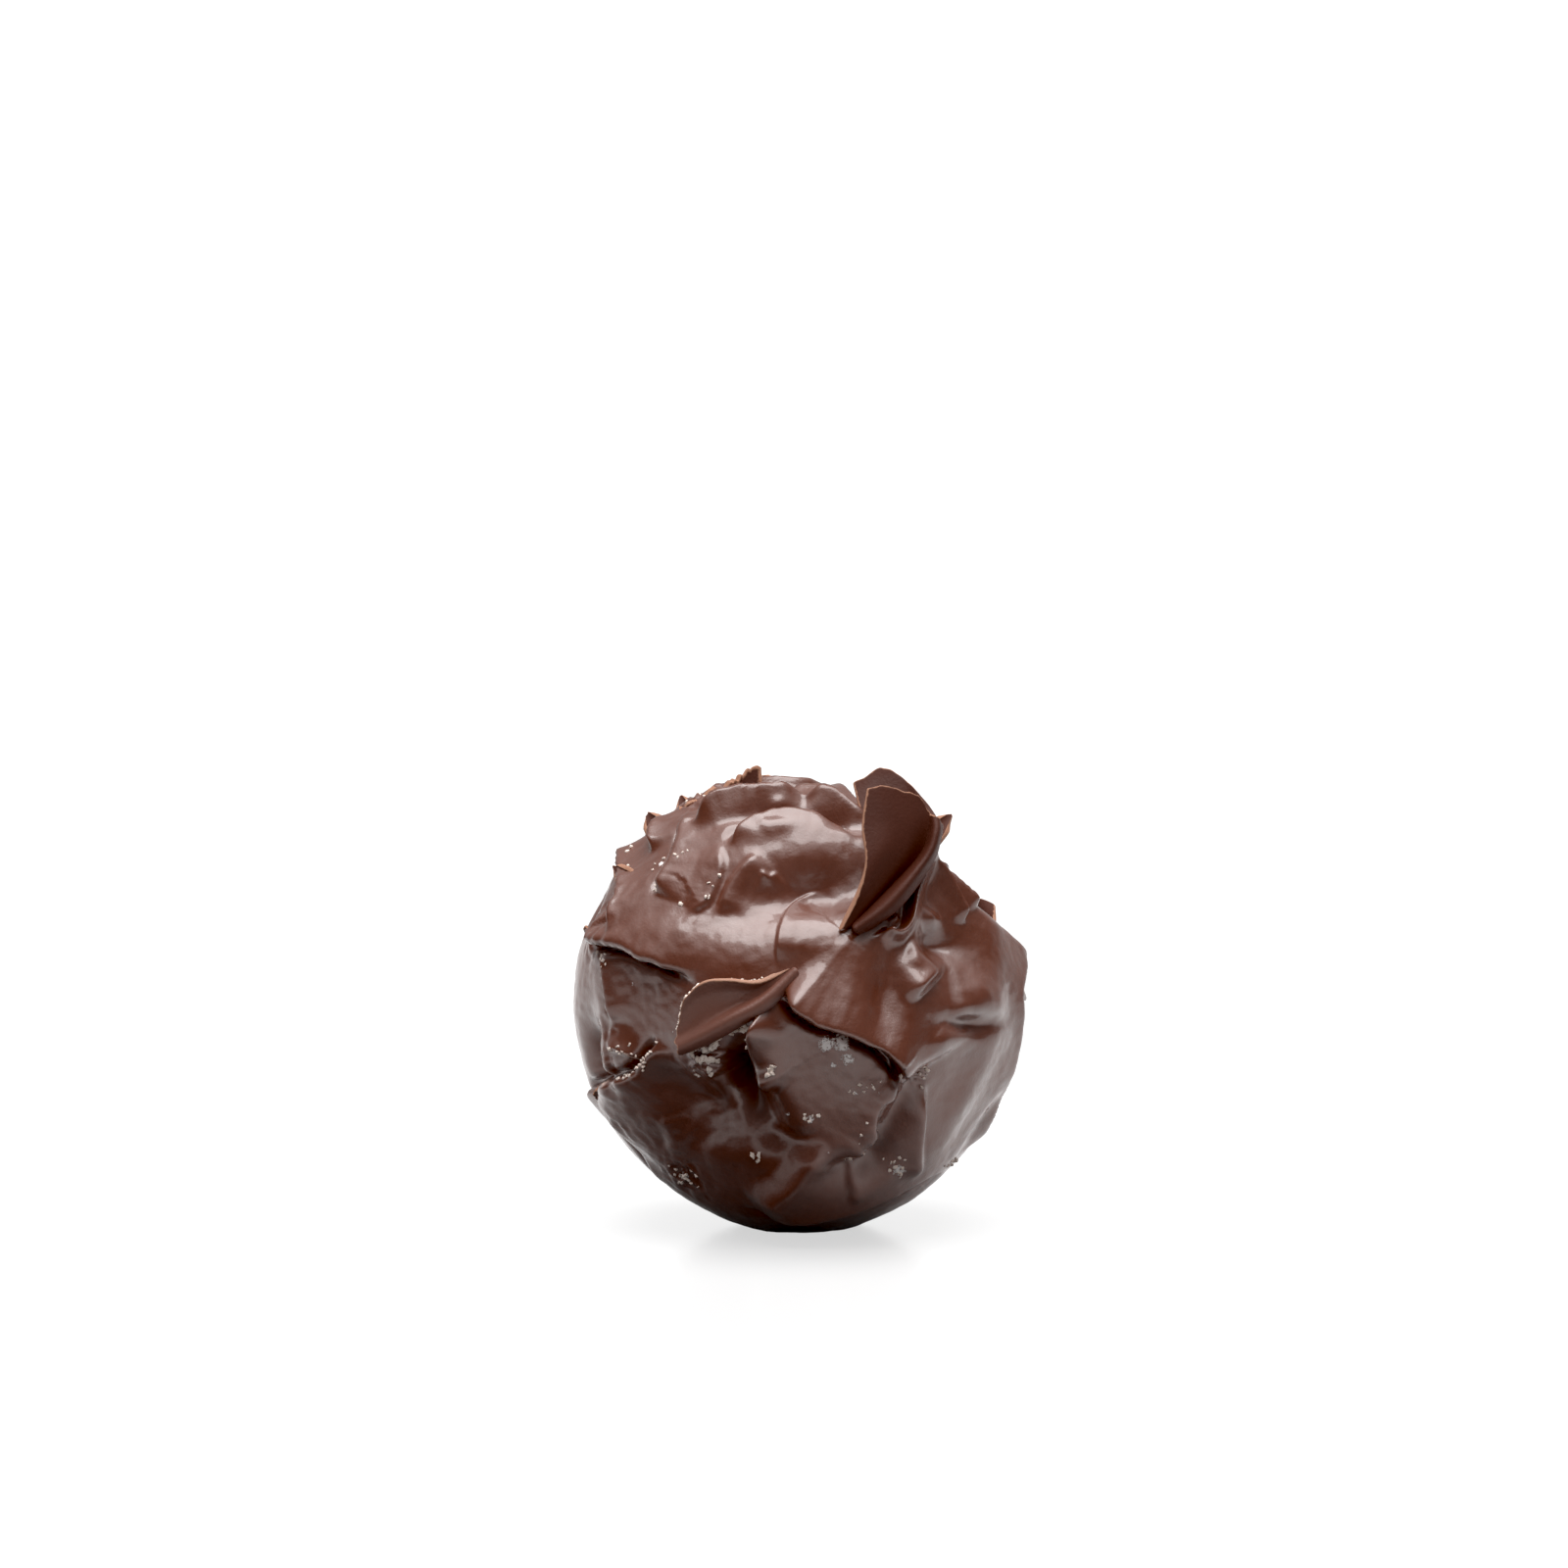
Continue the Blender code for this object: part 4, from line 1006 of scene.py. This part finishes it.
FINE_RUNS = at_front(
    [(6.9, -4.0), (7.6, -4.4)],
    [(7.2, -4.2), (7.4, -4.8)],
    [(5.6, -4.1), (5.7, -4.3)],
    [(-11.9, 3.1), (-11.5, 2.4), (-11.3, 1.7)],
    [(-11.2, -3.1), (-10.6, -2.8), (-9.8, -3.2), (-9.6, -3.8)],
    [(-10.6, -4.7), (-9.9, -4.2), (-9.2, -3.4), (-8.9, -2.6)],
    [(-7.5, -10.2), (-6.9, -10.7), (-6.2, -11.0)],
    [(-7.2, -10.6), (-6.6, -10.4)],
    [(-8.4, 6.5), (-8.2, 6.9)],
    [(-8.5, 8.0), (-8.1, 8.4)],
    [(-7.2, 8.1), (-6.9, 8.7)],
    [(-9.9, 9.1), (-9.6, 9.9)],
    [(-10.4, 7.5), (-9.9, 8.6)],
    [(-6.9, 5.6), (-6.8, 5.8)],
    [(-5.4, 6.2), (-4.9, 7.0)],
    [(-6.6, 11.4), (-4.0, 12.3), (-2.6, 13.0)],
    [(5.2, -9.2), (5.9, -9.8)],
    [(5.9, -9.1), (5.3, -9.9)],
    [(8.6, -9.5), (9.4, -9.3)],
    [(3.9, -7.2), (3.6, -8.6), (2.8, -9.4)],
    [(0.2, -7.1), (1.2, -6.9)],
    [(3.0, -5.2), (4.4, -5.0)],
) + [
    (B, [(-3.4, 0.4), (-0.8, -1.6)]),
    (B, [(5.4, 2.0), (7.8, 0.2)]),
    (L, [(-6.4, -3.0), (-5.4, 0.6)]),
    (R, [(4.4, -0.2), (6.4, 1.2)]),
]


# A crumb is a small ball whose points jump by noise: how fine it is, and how far, in largest radii.
JAG_SCALE = 7000.0
JAG_SHARE = 1.8
NEARLY_FULL_TURN = (6.28, 6.28, 6.28)


@dataclass
class Crumbs:
    """Loose crumbs along broken edges, set on the coat or on a leaf in short runs."""

    name: str
    coat: bpy.types.Object
    runs: list[tuple[Side, list[Place]]]
    spacing: float = 0.2
    spread: float = 0.3
    smallest: float = 0.03
    largest: float = 0.14

    def paths(self) -> bpy.types.Object:
        """The runs as thin lines through space, near the coat."""
        bm = bmesh.new()
        for side, run in self.runs:
            places = smooth_route(np.array([side.direction(*p) * BALL_RADIUS for p in run]), 8)
            verts = [bm.verts.new(Vector(p * MM) + BALL_MIDDLE) for p in places]
            for a, b in zip(verts, verts[1:]):
                bm.edges.new((a, b))
        mesh = bpy.data.meshes.new(self.name)
        bm.to_mesh(mesh)
        bm.free()
        piece = bpy.data.objects.new(self.name, mesh)
        bpy.context.scene.collection.objects.link(piece)
        return piece

    def tree(self) -> bpy.types.NodeTree:
        """The nodes that drop crumbs along the runs and set them on the coat."""
        tree = bpy.data.node_groups.new("drop_crumbs", "GeometryNodeTree")
        face = tree.interface
        face.new_socket("Geometry", in_out="INPUT", socket_type="NodeSocketGeometry")
        for name in ("Spacing", "Spread", "Smallest", "Largest"):
            face.new_socket(name, in_out="INPUT", socket_type="NodeSocketFloat")
        face.new_socket("Coat", in_out="INPUT", socket_type="NodeSocketObject")
        face.new_socket("Material", in_out="INPUT", socket_type="NodeSocketMaterial")
        face.new_socket("Geometry", in_out="OUTPUT", socket_type="NodeSocketGeometry")
        t = NodeTree(tree)
        source = t.add("NodeGroupInput").outputs
        spread = t.random(t.math("MULTIPLY", source["Spread"], -1.0), source["Spread"], 3)
        size = t.random(source["Smallest"], source["Largest"], 5)
        turn = t.random((0.0, 0.0, 0.0), NEARLY_FULL_TURN, 7)
        curve = t.add("GeometryNodeMeshToCurve", {"Mesh": source["Geometry"]})
        even = t.add(
            "GeometryNodeResampleCurve",
            {"Curve": curve.outputs["Curve"], "Length": source["Spacing"]},
            mode="LENGTH",
        )
        points = t.add("GeometryNodeCurveToPoints", {"Curve": even.outputs[0]}, mode="EVALUATED")
        loose = t.add("GeometryNodeSetPosition", {"Geometry": points.outputs[0], "Offset": spread})
        coat = t.add("GeometryNodeObjectInfo", {"Object": source["Coat"]}, transform_space="ORIGINAL")
        nearest = t.add("GeometryNodeProximity", {0: coat.outputs["Geometry"]}, target_element="FACES")
        landing = {"Geometry": loose.outputs[0], "Position": nearest.outputs["Position"]}
        landed = t.add("GeometryNodeSetPosition", landing)
        crumb = t.add("GeometryNodeMeshIcoSphere", {"Radius": 1.0, "Subdivisions": 2})
        heap = t.add(
            "GeometryNodeInstanceOnPoints",
            {"Points": landed.outputs[0], "Instance": crumb.outputs["Mesh"], "Scale": size, "Rotation": turn},
        )
        real = t.add("GeometryNodeRealizeInstances", {"Geometry": heap.outputs[0]})
        rough = t.add("ShaderNodeTexNoise", {"Scale": JAG_SCALE, "Detail": 2.0})
        centred = t.add(
            "ShaderNodeVectorMath", {0: rough.outputs["Color"], 1: (0.5, 0.5, 0.5)}, operation="SUBTRACT"
        )
        jump = t.math("MULTIPLY", source["Largest"], JAG_SHARE)
        jag = t.add("ShaderNodeVectorMath", {0: centred.outputs[0], "Scale": jump}, operation="SCALE")
        jagged = t.add("GeometryNodeSetPosition", {"Geometry": real.outputs[0], "Offset": jag.outputs[0]})
        dressing = {"Geometry": jagged.outputs[0], "Material": source["Material"]}
        t.add("NodeGroupOutput", {0: t.add("GeometryNodeSetMaterial", dressing).outputs[0]})
        return tree

    def build(self, material: bpy.types.Material) -> bpy.types.Object:
        """Drops the crumbs and turns them into a plain mesh."""
        piece = self.paths()
        values = {
            "Spacing": self.spacing * MM,
            "Spread": self.spread * MM,
            "Smallest": self.smallest * MM,
            "Largest": self.largest * MM,
            "Coat": self.coat,
            "Material": material,
        }
        grow(piece, self.tree(), values)
        return finish_piece(piece, material)


def grow(piece: bpy.types.Object, tree: bpy.types.NodeTree, values: dict[str, object]) -> None:
    """Runs a geometry tree on a piece and keeps the result as its plain mesh.

    Args:
        piece: The object that the tree starts from.
        tree: The tree.
        values: A value for each named input.
    """
    modifier = piece.modifiers.new("grow", "NODES")
    modifier.node_group = tree
    for item in tree.interface.items_tree:
        if item.item_type == "SOCKET" and item.in_out == "INPUT" and item.name in values:
            modifier[item.identifier] = values[item.name]
    keep_shape(piece)


@dataclass(frozen=True)
class Wall:
    """A soft wall of light along one axis, for reflections: where it begins, where it is full, its level."""

    axis: str
    begins: float
    full: float
    level: float


@dataclass
class Studio:
    """The pale floor, the soft light and the camera. Lengths of the camera are in mm."""

    pixel: float = 0.058
    image: int = 1600
    middle_pixel: tuple[int, int] = (816, 1021)
    distance: float = 465.0
    tilt: float = 7.5
    sensor: float = 36.0
    floor_size: float = 40.0
    dim_middle: SpacePlace = (-0.010, -0.015, 0.0)
    dim_reach: tuple[float, float] = (0.007, 0.024)
    sun_energy: float = 4.1
    sun_angle: float = 56.0
    sun_lean: float = 5.0
    ceiling: tuple[Wall, Wall] = (Wall("Z", 0.48, 0.86, 1.6), Wall("Y", 0.74, 0.40, 1.6))
    sides: tuple[Wall, Wall] = (Wall("Y", 0.00, 0.60, 0.55), Wall("X", 0.60, 1.00, 0.12))
    gloom: float = 0.03
    soft_light: float = 0.62
    black_level: float = 0.007

    def floor(self) -> None:
        """A wide floor that the camera sees pale, and that lights the praline little close to it."""
        bpy.ops.mesh.primitive_plane_add(size=self.floor_size)
        floor = bpy.context.object
        floor.name = "floor"
        material = bpy.data.materials.new("pale_floor")
        material.use_nodes = True
        t = NodeTree(material.node_tree)
        shader = material.node_tree.nodes["Principled BSDF"]
        path = t.add("ShaderNodeLightPath").outputs
        place = t.add("ShaderNodeTexCoord").outputs["Object"]
        away = t.add("ShaderNodeVectorMath", {0: place, 1: self.dim_middle}, operation="DISTANCE")
        mirrored = t.blend(path["Is Glossy Ray"], 0.06, t.rescale(away.outputs["Value"], *self.dim_reach))
        t.join(t.blend(path["Is Camera Ray"], mirrored, 0.3), shader.inputs["Base Color"])
        t.join(t.blend(path["Is Camera Ray"], 0.0, 0.62), shader.inputs["Emission Color"])
        shader.inputs["Emission Strength"].default_value = 1.0
        shader.inputs["Roughness"].default_value = 0.18
        floor.data.materials.append(material)

    def top_light(self) -> None:
        """One wide soft light overhead."""
        sun = bpy.data.lights.new("top_light", "SUN")
        sun.energy = self.sun_energy
        sun.angle = math.radians(self.sun_angle)
        lamp = bpy.data.objects.new("top_light", sun)
        lamp.rotation_euler = (math.radians(self.sun_lean), 0.0, 0.0)
        bpy.context.scene.collection.objects.link(lamp)

    def room(self) -> None:
        """Even soft light for the shapes, and for reflections a pale ceiling and back in a dark room."""
        world = bpy.data.worlds.new("pale_room")
        bpy.context.scene.world = world
        world.use_nodes = True
        t = NodeTree(world.node_tree)
        ground = world.node_tree.nodes["Background"]
        outward = t.add("ShaderNodeTexCoord").outputs["Generated"]
        axes = t.add("ShaderNodeSeparateXYZ", {"Vector": outward}).outputs
        ceiling, sides = (
            [t.rescale(axes[w.axis], w.begins, w.full, self.gloom, w.level, "SMOOTHSTEP") for w in walls]
            for walls in (self.ceiling, self.sides)
        )
        mirrored = t.math("MAXIMUM", t.math("MINIMUM", *ceiling), t.math("MAXIMUM", *sides))
        path = t.add("ShaderNodeLightPath").outputs
        lit = t.blend(path["Is Diffuse Ray"], mirrored, self.soft_light)
        t.join(t.blend(path["Is Camera Ray"], lit, 1.0), ground.inputs["Strength"])
        ground.inputs["Color"].default_value = (1.0, 1.0, 1.0, 1.0)

    def view(self) -> None:
        """Plain colours, with the darkest tones pressed down slightly."""
        view = bpy.context.scene.view_settings
        view.view_transform = "Standard"
        view.use_curve_mapping = True
        view.curve_mapping.black_level = (self.black_level,) * 3
        view.curve_mapping.update()

    def camera(self) -> None:
        """A long lens, aimed so that the ball's middle falls where the photograph has it."""
        span = self.pixel * self.image
        across = (self.middle_pixel[0] - self.image / 2) * self.pixel
        down = (self.middle_pixel[1] - self.image / 2) * self.pixel
        drop = math.degrees(math.atan(down / self.distance))
        tilt = math.radians(self.tilt - drop)
        towards = Vector((0.0, -math.cos(tilt), math.sin(tilt)))
        upward = Vector((0.0, math.sin(tilt), math.cos(tilt)))
        aim = BALL_MIDDLE + (down * upward - across * Vector((1.0, 0.0, 0.0))) * MM
        lens = bpy.data.cameras.new("camera")
        lens.sensor_width = self.sensor
        lens.lens = self.sensor * self.distance / span
        lens.clip_start = 0.01
        lens.clip_end = 100.0
        camera = bpy.data.objects.new("camera", lens)
        camera.location = aim + towards * self.distance * MM
        camera.rotation_euler = towards.to_track_quat("Z", "Y").to_euler()
        bpy.context.scene.collection.objects.link(camera)
        bpy.context.scene.camera = camera


def main() -> None:
    """Builds and dresses the praline, then its studio."""
    logging.basicConfig(level=logging.INFO)
    noise.seed_set(NOISE_SEED)
    grain = grain_group()
    coat_finish, shaded_flake_finish, leaf_sheen_finish, crumb_painted_light_finish = (
        finish.make(grain) for finish in (COAT_FINISH, SHADED_FLAKE_FINISH, LEAF_FINISH_WITH_SHEEN, CRUMB_FINISH_WITH_PAINTED_LIGHT)
    )
    coat = Coat().build(coat_finish)
    Leaf("curl", F, CURL_LINES, 0.34, grid=(64, 48)).build(shaded_flake_finish)
    leaf = Leaf("rolled_leaf", F, LEAF_LINES, 0.3, grid=(40, 56), seed=15).build(leaf_sheen_finish)
    Leaf("crest", F, CREST_LINES, 0.4, ragged=0.28, grid=(56, 20), seed=25, pale=0.3).build(shaded_flake_finish)
    for number, petal in enumerate(PETALS):
        seed = 35 + 5 * number
        Leaf(f"petal_{number}", petal.side, petal.lines(), 0.3, grid=(26, 22), seed=seed).build(shaded_flake_finish)
    Crumbs("coarse_crumbs", coat, COARSE_RUNS, 0.11, 0.3, 0.05, 0.23).build(crumb_painted_light_finish)
    Crumbs("leaf_crumbs", leaf, LEAF_RUNS, 0.14, 0.13, 0.03, 0.15).build(crumb_painted_light_finish)
    Crumbs("fine_crumbs", coat, FINE_RUNS, spread=0.4).build(crumb_painted_light_finish)
    studio = Studio()
    studio.floor()
    studio.top_light()
    studio.room()
    studio.view()
    studio.camera()


if __name__ == "__main__":
    main()
